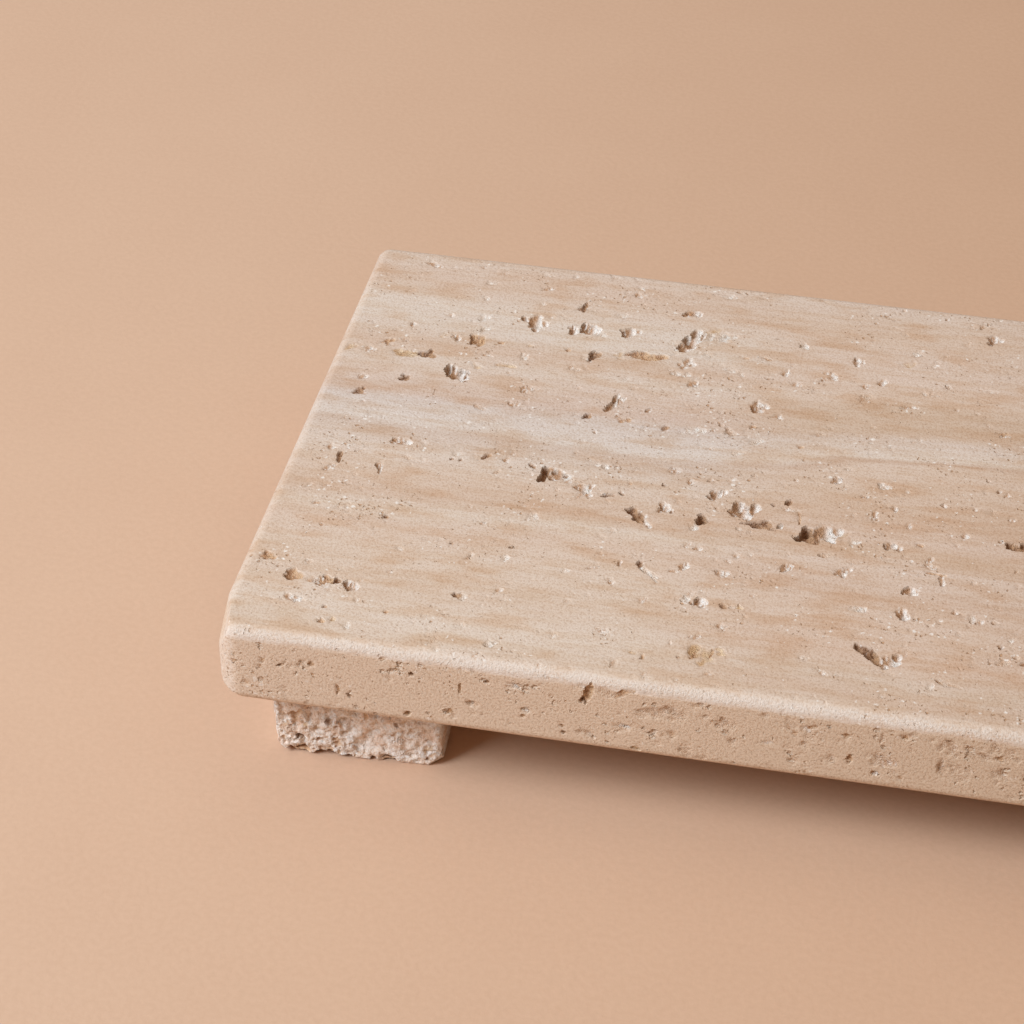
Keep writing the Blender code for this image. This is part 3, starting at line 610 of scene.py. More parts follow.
@dataclass(frozen=True)
class SawnBlock:
    """A sawn block of stone with rounded plan corners and eased arrises.

    Attributes:
        low: Its lowest corner.
        high: Its highest corner.
        corner: The radius of the plan corners at its front.
        back_corner: The radius of those at its back.
        arris: The radius of its upper and lower arrises.
        facets: The flats worn on it.
    """

    low: np.ndarray
    high: np.ndarray
    corner: float
    back_corner: float
    arris: float
    facets: tuple[Facet, ...] = ()

    @property
    def half(self) -> np.ndarray:
        """Half of its size."""
        return (self.high - self.low) / 2.0

    @property
    def middle(self) -> np.ndarray:
        """Its centre."""
        return (self.high + self.low) / 2.0

    def face(self, side: Side) -> Face:
        """Return one of its flat sides, as if its corners and arrises were sharp.

        Args:
            side: Which side.

        Returns:
            The flat side.
        """
        along, up, out = (np.array(way, float) for way in side.value)
        length = 2.0 * abs(along @ self.half)
        height = 2.0 * abs(up @ self.half)
        corner = self.middle + abs(out @ self.half) * out - along * length / 2.0 - up * height / 2.0
        return Face(corner, along, up, out, length, height)

    def depth_of(self, points: np.ndarray) -> np.ndarray:
        """Return how far points lie inside the block.

        It is less the distance to a rounded box: the plan distance to the rounded rectangle and the
        distance above the faces, each with the arris added, meet as the two sides of a right angle.
        Where a facet is nearer, it is the depth under the facet.

        Args:
            points: The points, one row each.

        Returns:
            One depth for each point.
        """
        away = np.abs(points - self.middle) - self.half
        corner = np.where(points[:, 1] > self.middle[1], self.back_corner, self.corner)
        plan = away[:, :2] + corner[:, None]
        outside = np.hypot(*np.maximum(plan, 0.0).T)
        rim = outside + np.minimum(plan.max(axis=1), 0.0) - corner + self.arris
        lid = away[:, 2] + self.arris
        outside = np.hypot(np.maximum(rim, 0.0), np.maximum(lid, 0.0))
        depth = self.arris - outside - np.minimum(np.maximum(rim, lid), 0.0)
        for facet in self.facets:
            depth = np.minimum(depth, facet.level - points @ facet.normal)
        return depth

    def worn(self, points: np.ndarray) -> np.ndarray:
        """Wear the facets.

        Args:
            points: The points of the unworn skin, one row each.

        Returns:
            The points, with those past a facet moved straight back onto it.
        """
        for facet in self.facets:
            past = np.maximum(points @ facet.normal - facet.level, 0.0)
            points = points - past[:, None] * facet.normal
        return points

    def surface(self, spacing: float) -> Surface:
        """Work out the block's skin as one closed surface.

        The top is a grid over the plan less the arris. Where a grid point lies in a corner square,
        it is drawn in from the square to the quarter disc: its offset from the disc's centre is
        scaled by the larger part of the offset over the offset's length. Rings carry the grid's
        outline round the upper arris, down the sides and round the lower arris, each as the
        outline plus its plan normal times the ring's reach. The underside is every second point
        of the top's grid, joined to the last ring by triangles. The facets are worn last.

        Args:
            spacing: The distance between neighbouring points of the top's grid.

        Returns:
            The surface, with quads and triangles that turn anticlockwise seen from outside.
        """
        reach = self.half[:2] - self.arris
        columns, rows = (2 * int(round(length / spacing)) for length in reach)
        x, y = np.meshgrid(
            np.linspace(-reach[0], reach[0], columns + 1),
            np.linspace(-reach[1], reach[1], rows + 1),
            indexing="ij",
        )
        disc = np.where(y > 0.0, self.back_corner, self.corner) - self.arris
        past_x = np.maximum(np.abs(x) - (reach[0] - disc), 0.0)
        past_y = np.maximum(np.abs(y) - (reach[1] - disc), 0.0)
        length = np.maximum(np.hypot(past_x, past_y), 1e-12)
        scale = np.where((past_x > 0) & (past_y > 0), np.maximum(past_x, past_y) / length, 1.0)
        past_x, past_y = past_x * scale, past_y * scale
        x = np.sign(x) * (np.minimum(np.abs(x), reach[0] - disc) + past_x)
        y = np.sign(y) * (np.minimum(np.abs(y), reach[1] - disc) + past_y)

        number = np.arange((columns + 1) * (rows + 1)).reshape(columns + 1, rows + 1)
        outline = np.concatenate((number[:-1, 0], number[-1, :-1], number[:0:-1, -1], number[0, :0:-1]))
        ring_size = len(outline)
        plan = np.stack((x.ravel(), y.ravel()), axis=1)
        edge = plan[outline]
        past = np.stack((past_x.ravel()[outline], past_y.ravel()[outline]), axis=1)
        plan_normal = np.sign(edge) * past
        plan_normal /= np.linalg.norm(plan_normal, axis=1, keepdims=True)

        steps = max(3, int(round(QUARTER_TURN * self.arris / spacing)))
        turns = np.linspace(0.0, QUARTER_TURN, steps + 1)
        flat = self.half[2] - self.arris
        side = np.linspace(flat, -flat, max(1, int(round(2.0 * flat / spacing))) + 1)[1:-1]
        down = turns[:0:-1]
        ring_out = np.concatenate((np.sin(turns[1:]), np.ones(len(side)), np.sin(down)))
        ring_up = np.concatenate((np.cos(turns[1:]), np.zeros(len(side)), -np.cos(down)))
        heights = np.concatenate((
            flat + self.arris * np.cos(turns[1:]), side, -flat - self.arris * np.cos(down)
        ))

        rings = np.empty((len(heights), ring_size, 3))
        rings[:, :, :2] = edge + self.arris * ring_out[:, None, None] * plan_normal
        rings[:, :, 2] = heights[:, None]
        ring_normals = np.empty_like(rings)
        ring_normals[:, :, :2] = ring_out[:, None, None] * plan_normal
        ring_normals[:, :, 2] = ring_up[:, None]

        under = np.stack((x[::2, ::2].ravel(), y[::2, ::2].ravel()), axis=1)
        top_points = np.column_stack((plan, np.full(len(plan), self.half[2])))
        under_points = np.column_stack((under, np.full(len(under), -self.half[2])))
        points = np.concatenate((top_points, rings.reshape(-1, 3), under_points)) + self.middle
        points = self.worn(points)
        upwards = np.array((0.0, 0.0, 1.0))
        normals = np.concatenate((
            np.broadcast_to(upwards, top_points.shape),
            ring_normals.reshape(-1, 3),
            np.broadcast_to(-upwards, under_points.shape),
        ))

        top_quads = np.stack(
            (number[:-1, :-1], number[1:, :-1], number[1:, 1:], number[:-1, 1:]), axis=-1
        ).reshape(-1, 4)
        first_ring = len(plan)
        loops = np.concatenate(
            (outline[None], first_ring + np.arange(len(heights) * ring_size).reshape(-1, ring_size))
        )
        following = np.roll(loops, -1, axis=1)
        ring_quads = np.stack(
            (loops[:-1], loops[1:], following[1:], following[:-1]), axis=-1
        ).reshape(-1, 4)

        coarse = first_ring + len(heights) * ring_size
        coarse = coarse + np.arange((columns // 2 + 1) * (rows // 2 + 1)).reshape(columns // 2 + 1, -1)
        under_quads = np.stack(
            (coarse[:-1, :-1], coarse[:-1, 1:], coarse[1:, 1:], coarse[1:, :-1]), axis=-1
        ).reshape(-1, 4)
        here = np.concatenate((coarse[:-1, 0], coarse[-1, :-1], coarse[:0:-1, -1], coarse[0, :0:-1]))
        ahead = np.roll(here, -1)
        start, between, end = loops[-1, ::2], loops[-1, 1::2], np.roll(loops[-1], -2)[::2]
        seam = np.concatenate((
            np.stack((start, here, between), axis=1),
            np.stack((between, here, ahead), axis=1),
            np.stack((between, ahead, end), axis=1),
        ))
        return Surface(points, normals, np.concatenate((top_quads, ring_quads, under_quads)), seam)


@dataclass
class VoidBed:
    """The voids of one block: it places them, digs them and lines them.

    Attributes:
        block: The block that holds them.
        largest: The length that their sizes are shares of.
        seed: What their lobes, the scattered pits and the noise are drawn from.
        pockets: The ellipsoids that make up the voids.
        openness: How deep a void is dug, as a share of the depth that is asked for.
        core: The size of a void's main ellipsoid, as a share of the void's.
        lobed_from: The length from which a void has a few lobes.
        ragged_from: The length from which it has many.
        lobe_slip: How far a lobe slips from the middle, at most, as a share of the void's size.
        smallest_lobe: The size of the smallest lobe as shares of the void's length, width and depth.
        largest_lobe: That of the largest.
        pit_stretch: The least and the most that a scattered pit is drawn out along the bedding.
        pit_turn: How far a scattered pit turns from the bedding, in turns.
        steepens: The depths, as shares of the width, between which a dish becomes a deep void.
        steep_lift: How far the centre of a deep ellipsoid lies off the face, as a share of its height.
        dished_lift: How far that of a shallow one does.
        fit: How far noise may sway the points of a small ellipsoid, as a share of its radii.
        rim_lining: The depth at which the lining begins to hide the stone.
        full_lining: The depth from which it hides it fully.
        lined_to: How far from an ellipsoid's centre its lining reaches, as a share of its radii.
        shade_to_lit: Where the left colour, with painted shade, ends and the right begins, in half
            widths.
        sway_noises: The cells and the weights of the noises that sway mouths and floors.
        mean_floor: What the depth is scaled by where its noises are zero.
        floor_noises: The cells and the weights of the noises that scale the depth.
    """

    block: SawnBlock
    largest: float
    seed: int
    pockets: list[Pocket] = field(default_factory=list)

    openness = 0.58
    core = 0.86
    lobed_from = 1.4 * MM
    ragged_from = 2.6 * MM
    lobe_slip = 0.46
    smallest_lobe = (0.24, 0.28, 0.35)
    largest_lobe = (0.58, 0.78, 1.00)
    pit_stretch = (0.8, 1.5)
    pit_turn = 0.07
    steepens = (0.30, 0.80)
    steep_lift = -0.16
    dished_lift = 0.50
    fit = 0.42
    rim_lining = 0.08 * MM
    full_lining = 0.42 * MM
    lined_to = 1.45
    shade_to_lit = (-0.45, 0.55)
    sway_noises = ((2.3 * MM, 0.7), (0.85 * MM, 0.4))
    mean_floor = 0.96
    floor_noises = ((1.0 * MM, 0.26), (0.5 * MM, 0.16))

    def __post_init__(self) -> None:
        """Start the bed's own draw of random numbers."""
        self.draw = np.random.default_rng(self.seed)

    def add(self, side: Side, void: Void) -> None:
        """Place one void, as an ellipsoid and, on a longer void, the lobes that make it ragged.

        Args:
            side: The side of the block that it opens on.
            void: Its shares and its lining.
        """
        face = self.block.face(side)
        turn = void.turn_share * FULL_TURN
        along = math.cos(turn) * face.along + math.sin(turn) * face.up
        axes = np.array((along, np.cross(face.out, along), face.out))
        size = np.array((void.length_share, void.width_share, 2.0 * void.depth_share)) * self.largest
        size[2] *= self.openness
        mouth = face.corner + face.along * face.length * void.along_share
        mouth = mouth + face.up * face.height * void.up_share
        lobes = 7 if size[0] > self.ragged_from else 3 if size[0] > self.lobed_from else 1
        self.place(mouth, axes, size * self.core / 2.0, void.lining)
        for _ in range(lobes):
            slip = self.draw.uniform(-self.lobe_slip, self.lobe_slip, 3) * size
            slip[2] = 0.0
            share = self.draw.uniform(self.smallest_lobe, self.largest_lobe)
            self.place(mouth + slip @ axes, axes, size * share / 2.0, void.lining)

    def place(self, mouth: np.ndarray, axes: np.ndarray, radii: np.ndarray, lining: Lining) -> None:
        """Add one ellipsoid, with its centre off the face by a share of its height.

        The centre of a deep one is sunk, so that its walls stand steeply at the mouth, and that of
        a shallow one is lifted clear of the face, so that it is a dish. The ellipsoid is enlarged
        to keep the mouth's radii and the depth.

        Args:
            mouth: The middle of its mouth, on the face.
            axes: Its axes as rows, the last one outwards.
            radii: The mouth's two radii and the depth.
            lining: What lines it.
        """
        steepness = smooth_step(radii[2] / radii[1], *self.steepens)
        lift = self.dished_lift + (self.steep_lift - self.dished_lift) * steepness
        widening = 1.0 / math.sqrt(1.0 - max(lift, 0.0) ** 2)
        radii = radii * (widening, widening, 1.0 / (1.0 - lift))
        self.pockets.append(Pocket(mouth + lift * radii[2] * axes[2], axes, radii, lining))

    def scatter(self, pits: Scatter) -> None:
        """Scatter small pits over a side, most of them near the smallest size.

        A pit's size is the smallest plus the cube of a random share of the range, so large ones
        are rare.

        Args:
            pits: How many, how large, how deep and where.
        """
        smallest, largest = pits.sizes
        for _ in range(pits.count):
            place = self.draw.uniform((pits.reach[0], pits.rise[0]), (pits.reach[1], pits.rise[1]))
            size = smallest + (largest - smallest) * self.draw.uniform() ** 3
            share = size / self.largest
            stretch = self.draw.uniform(*self.pit_stretch)
            depth = self.draw.uniform(*pits.depths)
            turn = self.draw.normal(0.0, self.pit_turn)
            lining = pits.linings[self.draw.integers(len(pits.linings))]
            void = Void(*place, share * stretch, share / stretch, share * depth, lining, turn)
            self.add(pits.side, void)

    def dig(self, surface: Surface, raggedness: float) -> Surface:
        """Dig the voids into a surface of the block.

        A point inside an ellipsoid moves in along its normal to where that line leaves the
        ellipsoid, and the deepest ellipsoid wins. The points are first swayed by noise, so that
        mouths and floors are ragged, and the depth is scaled by finer noise. The points are kept
        sorted along X, so that each ellipsoid looks only at those near it.

        Args:
            surface: The block's skin.
            raggedness: How far the noise sways a point in a large void.

        Returns:
            The surface with its points moved in.
        """
        points, normals = surface.points, surface.normals
        sway = sum(
            weight * stone_noise(points, cell, self.seed + 1 + number, 3)
            for number, (cell, weight) in enumerate(self.sway_noises)
        )
        order = np.argsort(points[:, 0])
        sorted_x = points[order, 0]
        depth = np.zeros(len(points))
        for pocket in self.pockets:
            # The sway brings points in from a little way off
            reach = pocket.radii.max() * 1.3 + 0.3 * MM
            first, last = np.searchsorted(sorted_x, pocket.centre[0] + np.array((-reach, reach)))
            near = order[first:last]
            near = near[np.all(np.abs(points[near, 1:] - pocket.centre[1:]) < reach, axis=1)]
            swing = min(raggedness, self.fit * np.sort(pocket.radii)[0:2].mean())
            swayed = points[near] + sway[near] * swing
            place = (swayed - pocket.centre) @ pocket.axes.T / pocket.radii
            inwards = -normals[near] @ pocket.axes.T / pocket.radii
            inside = np.einsum("ij,ij->i", place, place) < 1.0
            near, place, inwards = near[inside], place[inside], inwards[inside]
            a = np.einsum("ij,ij->i", inwards, inwards)
            b = np.einsum("ij,ij->i", place, inwards)
            c = np.einsum("ij,ij->i", place, place) - 1.0
            leaves = (np.sqrt(b * b - a * c) - b) / a
            depth[near] = np.maximum(depth[near], leaves)
        dug = depth > 0.0
        rough = self.mean_floor
        for number, (cell, weight) in enumerate(self.floor_noises):
            rough = rough + weight * stone_noise(points[dug], cell, self.seed + 3 + number)[:, 0]
        depth[dug] *= rough
        return surface._replace(points=points - normals * depth[:, None])

    def line(self, points: np.ndarray) -> tuple[np.ndarray, np.ndarray]:
        """Work out what lines the voids at the points of the dug surface.

        A point takes the lining of the ellipsoid that it lies deepest in. Its colour turns from
        the lining's left one, darkened by painted shade of the wall that faces away from the lamp,
        to its right one as the point crosses the ellipsoid along X, and it hides the stone more as
        the point lies deeper in the block.

        Args:
            points: The points of the dug and thinned surface.

        Returns:
            The depth of each point in the block, and its lining as linear colour, with painted shade
            on the left walls, and strength.
        """
        depth = self.block.depth_of(points)
        nearest = np.full(len(points), self.lined_to)
        colours = np.zeros((len(points), 4))
        order = np.argsort(points[:, 0])
        sorted_x = points[order, 0]
        for pocket in self.pockets:
            left, right, strength = pocket.lining.value
            left, right = np.array(linear(left)[:3]), np.array(linear(right)[:3])
            reach = pocket.radii.max() * self.lined_to
            first, last = np.searchsorted(sorted_x, pocket.centre[0] + np.array((-reach, reach)))
            near = order[first:last]
            offset = points[near] - pocket.centre
            away = np.linalg.norm(offset @ pocket.axes.T / pocket.radii, axis=1)
            closer = away < nearest[near]
            near, offset, away = near[closer], offset[closer], away[closer]
            nearest[near] = away
            half_width = np.linalg.norm(pocket.axes[:, 0] * pocket.radii)
            # Painted shade: the left wall, turned away from the lamp, takes the darker left colour
            across = smooth_step(offset[:, 0] / half_width, *self.shade_to_lit)[:, None]
            colours[near, :3] = left * (1.0 - across) + right * across
            colours[near, 3] = strength
        colours[:, 3] *= smooth_step(depth, self.rim_lining, self.full_lining)
        return depth, colours


def worn_facets(
    low: np.ndarray, high: np.ndarray, radius: float, shares: tuple[tuple[tuple[float, ...], float], ...]
) -> tuple[Facet, ...]:
    """Work out the facets of the two worn front corners of a block.

    Args:
        low: The block's lowest corner.
        high: Its highest corner.
        radius: The length that the facets' depths are shares of.
        shares: For each facet how far it looks along the front, out of it and up, and its depth
            under the sharp corner.

    Returns:
        The facets, those of the left corner first.
    """
    facets = []
    for end in (-1, 1):
        for lean, depth_share in shares:
            normal = np.array(lean) * (end, -1.0, 1.0)
            normal /= np.linalg.norm(normal)
            corner = np.where((end > 0, False, lean[2] > 0.0), high, low)
            facets.append(Facet(normal, corner @ normal - radius * depth_share))
    return tuple(facets)


def point_spacing(spacing: float) -> float:
    return spacing * 1.0


def add_mesh(name: str, surface: Surface) -> Object:
    """Put a surface into a new object.

    Args:
        name: The object's name.
        surface: Its points and faces.

    Returns:
        The object, linked into the scene.
    """
    quads, triangles = surface.quads, surface.triangles
    corners = np.concatenate((quads.ravel(), triangles.ravel()))
    starts = np.concatenate((
        np.arange(0, quads.size, 4), quads.size + np.arange(0, triangles.size, 3)
    ))
    mesh = bpy.data.meshes.new(name)
    mesh.vertices.add(len(surface.points))
    mesh.vertices.foreach_set("co", surface.points.astype(np.float32).ravel())
    mesh.loops.add(len(corners))
    mesh.loops.foreach_set("vertex_index", corners.astype(np.int32))
    mesh.polygons.add(len(starts))
    mesh.polygons.foreach_set("loop_start", starts.astype(np.int32))
    mesh.update(calc_edges=True)
    piece = bpy.data.objects.new(name, mesh)
    bpy.context.scene.collection.objects.link(piece)
    return piece


def bake_modifiers(piece: Object) -> None:
    """Replace a piece's mesh with the one that its modifiers make, and drop the modifiers.

    Args:
        piece: The piece.
    """
    graph = bpy.context.evaluated_depsgraph_get()
    raw = piece.data
    finished = bpy.data.meshes.new_from_object(piece.evaluated_get(graph), depsgraph=graph)
    piece.modifiers.clear()
    piece.data = finished
    bpy.data.meshes.remove(raw)
    finished.name = piece.name


def count_triangles(piece: Object) -> int:
    """Return how many triangles a piece has: two fewer than corners for each face."""
    return len(piece.data.loops) - 2 * len(piece.data.polygons)


def thin(piece: Object, triangles: int) -> None:
    """Collapse edges where the surface is flat.

    Args:
        piece: The piece.
        triangles: About how many triangles are left.
    """
    modifier = piece.modifiers.new("thin", "DECIMATE")
    modifier.ratio = min(1.0, triangles / count_triangles(piece))
    bake_modifiers(piece)


def shade(piece: Object, sharp_from: float) -> None:
    """Shade a piece smooth, with large flat faces keeping their own normal.

    Args:
        piece: The piece.
        sharp_from: The angle between two faces from which their edge is shaded sharp.
    """
    piece.data.shade_smooth()
    piece.data.set_sharp_from_angle(angle=sharp_from)
    modifier = piece.modifiers.new("even_shading", "WEIGHTED_NORMAL")
    modifier.keep_sharp = True
    modifier.weight = 80
    bake_modifiers(piece)


def read_points(piece: Object) -> np.ndarray:
    """Return the points of a piece's mesh, one row each."""
    points = np.empty(3 * len(piece.data.vertices), np.float32)
    piece.data.vertices.foreach_get("co", points)
    return points.reshape(-1, 3).astype(float)


def write_points(piece: Object, points: np.ndarray) -> None:
    """Move the points of a piece's mesh."""
    piece.data.vertices.foreach_set("co", points.astype(np.float32).ravel())
    piece.data.update()


def store_lining(piece: Object, depth: np.ndarray, colours: np.ndarray) -> None:
    """Store what a shader reads of the voids.

    Args:
        piece: The piece.
        depth: The depth of each point in its block, which is stored in millimetres.
        colours: Its lining as linear colour, with painted shade on the left walls, and strength.
    """
    hollow = piece.data.attributes.new("hollow", "FLOAT", "POINT")
    hollow.data.foreach_set("value", (depth / MM).astype(np.float32))
    lining = piece.data.attributes.new("lining", "FLOAT_COLOR", "POINT")
    lining.data.foreach_set("color", colours.astype(np.float32).ravel())


def turned(points: np.ndarray, turn: float, offset: np.ndarray) -> np.ndarray:
    """Return points turned about Z, then shifted."""
    cosine, sine = math.cos(turn), math.sin(turn)
    return points @ np.array(((cosine, sine, 0.0), (-sine, cosine, 0.0), (0.0, 0.0, 1.0))) + offset


def add_node(tree: NodeTree, kind: str, sockets: dict[Any, Any] | None = None, **settings: Any) -> Node:
    """Add a node with its settings and links.

    Args:
        tree: The tree that it goes in.
        kind: The node's Blender type, less its first words, ShaderNode.
        sockets: For each input, by name or number, a value, or an output socket or a node to link.
            A node is linked by its first output.
        **settings: Properties of the node.

    Returns:
        The new node.
    """
    node = tree.nodes.new("ShaderNode" + kind)
    for name, value in settings.items():
        setattr(node, name, value)
    for key, value in (sockets or {}).items():
        if isinstance(value, Node):
            value = value.outputs[0]
        if isinstance(value, NodeSocket):
            tree.links.new(value, node.inputs[key])
        else:
            node.inputs[key].default_value = value
    return node


def new_tree(name: str) -> tuple[Material, NodeTree]:
    """Start a material.

    Args:
        name: Its name.

    Returns:
        The material and its empty node tree.
    """
    material = bpy.data.materials.new(name)
    material.use_nodes = True
    material.node_tree.nodes.clear()
    return material, material.node_tree


def set_ramp(node: Node, stops: tuple[tuple[float, str], ...]) -> None:
    """Give a colour ramp its stops.

    Args:
        node: The ramp's node.
        stops: For each stop its share of the way along the ramp and its sRGB hex colour.
    """
    elements = node.color_ramp.elements
    while len(elements) < len(stops):
        elements.new(1.0)
    for element, (share, colour) in zip(elements, stops):
        element.position = share
        element.color = linear(colour)


@dataclass(frozen=True)
class HonedTravertine:
    """Travertine sawn across its bedding, left unfilled, with its top honed by hand.

    Honing leaves a flat, matt top on which the bedding shows as soft cream, tan and lavender
    bands, and the small pores of the stone as brown and white specks, the brown partly painted
    shade of the pore. The sides keep the sandy grain of the saw. Arrises and corners rubbed down
    by hand show chalky bruised calcite.

    Attributes:
        near_bands: The bedding's bands at the left, by share of the slab's depth from its front.
        far_bands: The bands past the middle of the left half.
        deepening: The tints that the top takes from left to right.
        sawn: The colours of the sandy sides, from the left end to the middle.
        grain: The tints of the crystals, by share of their noise.
        streaks: The tints of the fine streaks along the bedding.
        blotches: The tints of the stained patches along it.
        rubbed: The colour of a rubbed arris.
        ground: The colour of a ground corner.
        pore: The colour in a small pore: partly stain, partly painted shade.
        crystal: The colour of a calcite speck.
        recess_shade: The colour that bare stone takes deep in a void: painted shade, partly the void's
            own brown.
        roughness: The roughness of the honed face.
        sway: How far broad noise sways the bands across the bedding, in millimetres.
        ripple: How far finer noise does.
        lift: How far the bands rise past the middle of the left half, in millimetres.
        raggedness: How far noise moves the edge of a rubbed or ground place, in millimetres.
        rubbed_end: How much of its colour shows on the arris of an end.
        rubbed_side: How much of it shows on the front and back arrises.
        ground_front: How much of its colour shows on a front corner.
        ground_back: How much of it shows on a back corner.
        sandy_relief: The height of the crystals on the sawn sides, in millimetres.
        honed_relief: That on the honed top.
        bruised_relief: What a rubbed arris adds to it.
        pore_depth: The depth of a small pore, in millimetres.
        sandy_pit: The depth of a pit on the sawn sides, in millimetres.
        honed_pit: That on the honed top.
    """

    near_bands: tuple[tuple[float, str], ...] = (
        (0.00, "#E1CFC1"), (0.05, "#DDC9B8"), (0.08, "#E2D1C3"), (0.15, "#DDC8B7"),
        (0.22, "#DFCBBB"), (0.28, "#DCC5B4"), (0.315, "#E1D0C2"), (0.35, "#D7BEAB"),
        (0.40, "#DCC6B5"), (0.46, "#DFCEC1"), (0.510, "#D6C3B6"), (0.522, "#E0D3CA"),
        (0.58, "#DBCDC5"), (0.60, "#D8C2B4"), (0.66, "#DDC9BB"), (0.70, "#E0CFC2"),
        (0.74, "#D9C1AF"), (0.79, "#E1D2C6"), (0.84, "#E2D3C7"), (0.91, "#DBC4B3"),
        (0.95, "#DDC8B9"), (1.00, "#DFCEC1"),
    )
    far_bands: tuple[tuple[float, str], ...] = (
        (0.00, "#E1CFC0"), (0.04, "#D5BBA7"), (0.07, "#DAC5B4"), (0.12, "#D9BFAC"),
        (0.20, "#DCC5B4"), (0.26, "#D9C1B0"), (0.31, "#DEC9BA"), (0.345, "#D4B9A3"),
        (0.38, "#DCC5B5"), (0.42, "#D5BAA5"), (0.46, "#DBC4B2"), (0.51, "#DEC9B9"),
        (0.520, "#D0B5A1"), (0.530, "#E3D4C8"), (0.575, "#DCCABD"), (0.595, "#D5BDA9"),
        (0.66, "#D5BDA9"), (0.70, "#DDC7B6"), (0.76, "#DFCABB"), (0.84, "#DEC9BA"),
        (0.92, "#DBC4B2"), (1.00, "#DFCEC2"),
    )
    deepening: tuple[tuple[float, str], ...] = ((0.49, "#FFFFFF"), (0.55, "#FAF8F6"))
    sawn: tuple[tuple[float, str], ...] = ((0.0, "#DFC8B3"), (0.30, "#DEC6AF"), (0.60, "#D7BFA7"))
    grain: tuple[tuple[float, str], ...] = ((0.36, "#DECFC1"), (0.50, "#FBF8F5"), (0.62, "#FFFFFF"))
    streaks: tuple[tuple[float, str], ...] = ((0.36, "#F8F3ED"), (0.56, "#FFFFFF"))
    blotches: tuple[tuple[float, str], ...] = ((0.34, "#F6ECE1"), (0.50, "#FFFFFE"), (0.64, "#FFFFFF"))
    rubbed: str = "#DCCCBF"
    ground: str = "#E6DAD2"
    pore: str = "#BE9068"
    crystal: str = "#F6EEE6"
    recess_shade: str = "#C2956E"
    roughness: float = 0.62
    sway: float = 9.0
    ripple: float = 5.5
    lift: float = 8.5
    raggedness: float = 2.4
    rubbed_end: float = 0.20
    rubbed_side: float = 0.50
    ground_front: float = 0.20
    ground_back: float = 0.12
    sandy_relief: float = 0.19
    honed_relief: float = 0.11
    bruised_relief: float = 0.10
    pore_depth: float = 0.24
    sandy_pit: float = 0.48
    honed_pit: float = 0.10

    def material(self, block: SawnBlock) -> Material:
        """Make the material for one slab.

        Args:
            block: The slab, whose edges place the honing and the rubbed arrises.

        Returns:
            The material.
        """
        material, tree = new_tree("honed_travertine")
        place = object_millimetres(tree)
        parts = add_node(tree, "SeparateXYZ", {0: place})
        wander = add_node(tree, "TexNoise", {"Vector": place, "Scale": 0.5, "Detail": 3.0})
        honed = self.honed_mask(tree, parts, wander.outputs[0], block)
        left, right = block.low[0] / MM, block.high[0] / MM
        along = add_node(tree, "MapRange", {"Value": parts.outputs["X"], FROM_MIN: left, FROM_MAX: right})
        sides = add_node(tree, "ValToRGB", {0: along})
        set_ramp(sides, self.sawn)
        noise = add_node(
            tree, "TexNoise", {"Vector": place, "Scale": 1.8, "Detail": 2.0, "Roughness": 0.8}
        )
        grain = add_node(tree, "ValToRGB", {0: noise})
        set_ramp(grain, self.grain)
        grain_share = add_node(tree, "MapRange", {"Value": honed, TO_MIN: 0.9, TO_MAX: 0.65})
        crystals = spots(tree, place, cell=1.3, share=0.62, radius=0.40, strength=1.0)
        speck_share = add_node(tree, "MapRange", {"Value": honed, TO_MIN: 0.45, TO_MAX: 0.80})
        specks = add_node(tree, "Math", {0: crystals, 1: speck_share}, operation="MULTIPLY")
        # Pores: brown specks, partly stain and partly painted shade of the pore
        pores = spots(tree, place, cell=1.1, share=0.62, radius=0.33, strength=0.80)
        colour = layered(
            tree,
            sides,
            (honed, self.bedding(tree, place, parts, along.outputs[0], block), "MIX"),
            (grain_share, grain, "MULTIPLY"),
            (specks, linear(self.crystal), "MIX"),
            (pores, linear(self.pore), "MIX"),
        )
        bruises = add_node(
            tree,
            "MapRange",
            {"Value": noise, FROM_MIN: 0.36, FROM_MAX: 0.60, TO_MIN: 0.35, TO_MAX: 1.7},
        )
        rubbed, ground = self.rubbed_arrises(tree, parts, wander.outputs[0], bruises.outputs[0], block)
        colour = layered(
            tree, colour, (rubbed, linear(self.rubbed), "MIX"), (ground, linear(self.ground), "MIX")
        )
        colour = lined(tree, colour, linear(self.recess_shade), noise, from_depth=0.15)

        hollow = add_node(tree, "Attribute", attribute_name="hollow")
        dug = add_node(
            tree,
            "MapRange",
            {"Value": hollow.outputs["Fac"], FROM_MIN: 0.1, FROM_MAX: 0.6, TO_MAX: 0.75},
        )
        depth = add_node(
            tree, "MapRange", {"Value": honed, TO_MIN: self.sandy_relief, TO_MAX: self.honed_relief}
        )
        depth = add_node(tree, "Math", {0: dug, 1: depth}, operation="ADD")
        depth = add_node(
            tree, "Math", {0: rubbed, 1: self.bruised_relief, 2: depth}, operation="MULTIPLY_ADD"
        )
        relief = add_node(tree, "Math", {0: noise, 1: depth}, operation="MULTIPLY")
        relief = add_node(
            tree, "Math", {0: pores, 1: -self.pore_depth, 2: relief}, operation="MULTIPLY_ADD"
        )
        pits = spots(tree, place, cell=1.9, share=0.62, radius=0.80, strength=1.0)
        pit_depth = add_node(
            tree, "MapRange", {"Value": honed, TO_MIN: -self.sandy_pit, TO_MAX: -self.honed_pit}
        )
        relief = add_node(tree, "Math", {0: pits, 1: pit_depth, 2: relief}, operation="MULTIPLY_ADD")
        finish_stone(tree, colour, relief, self.roughness)
        return material

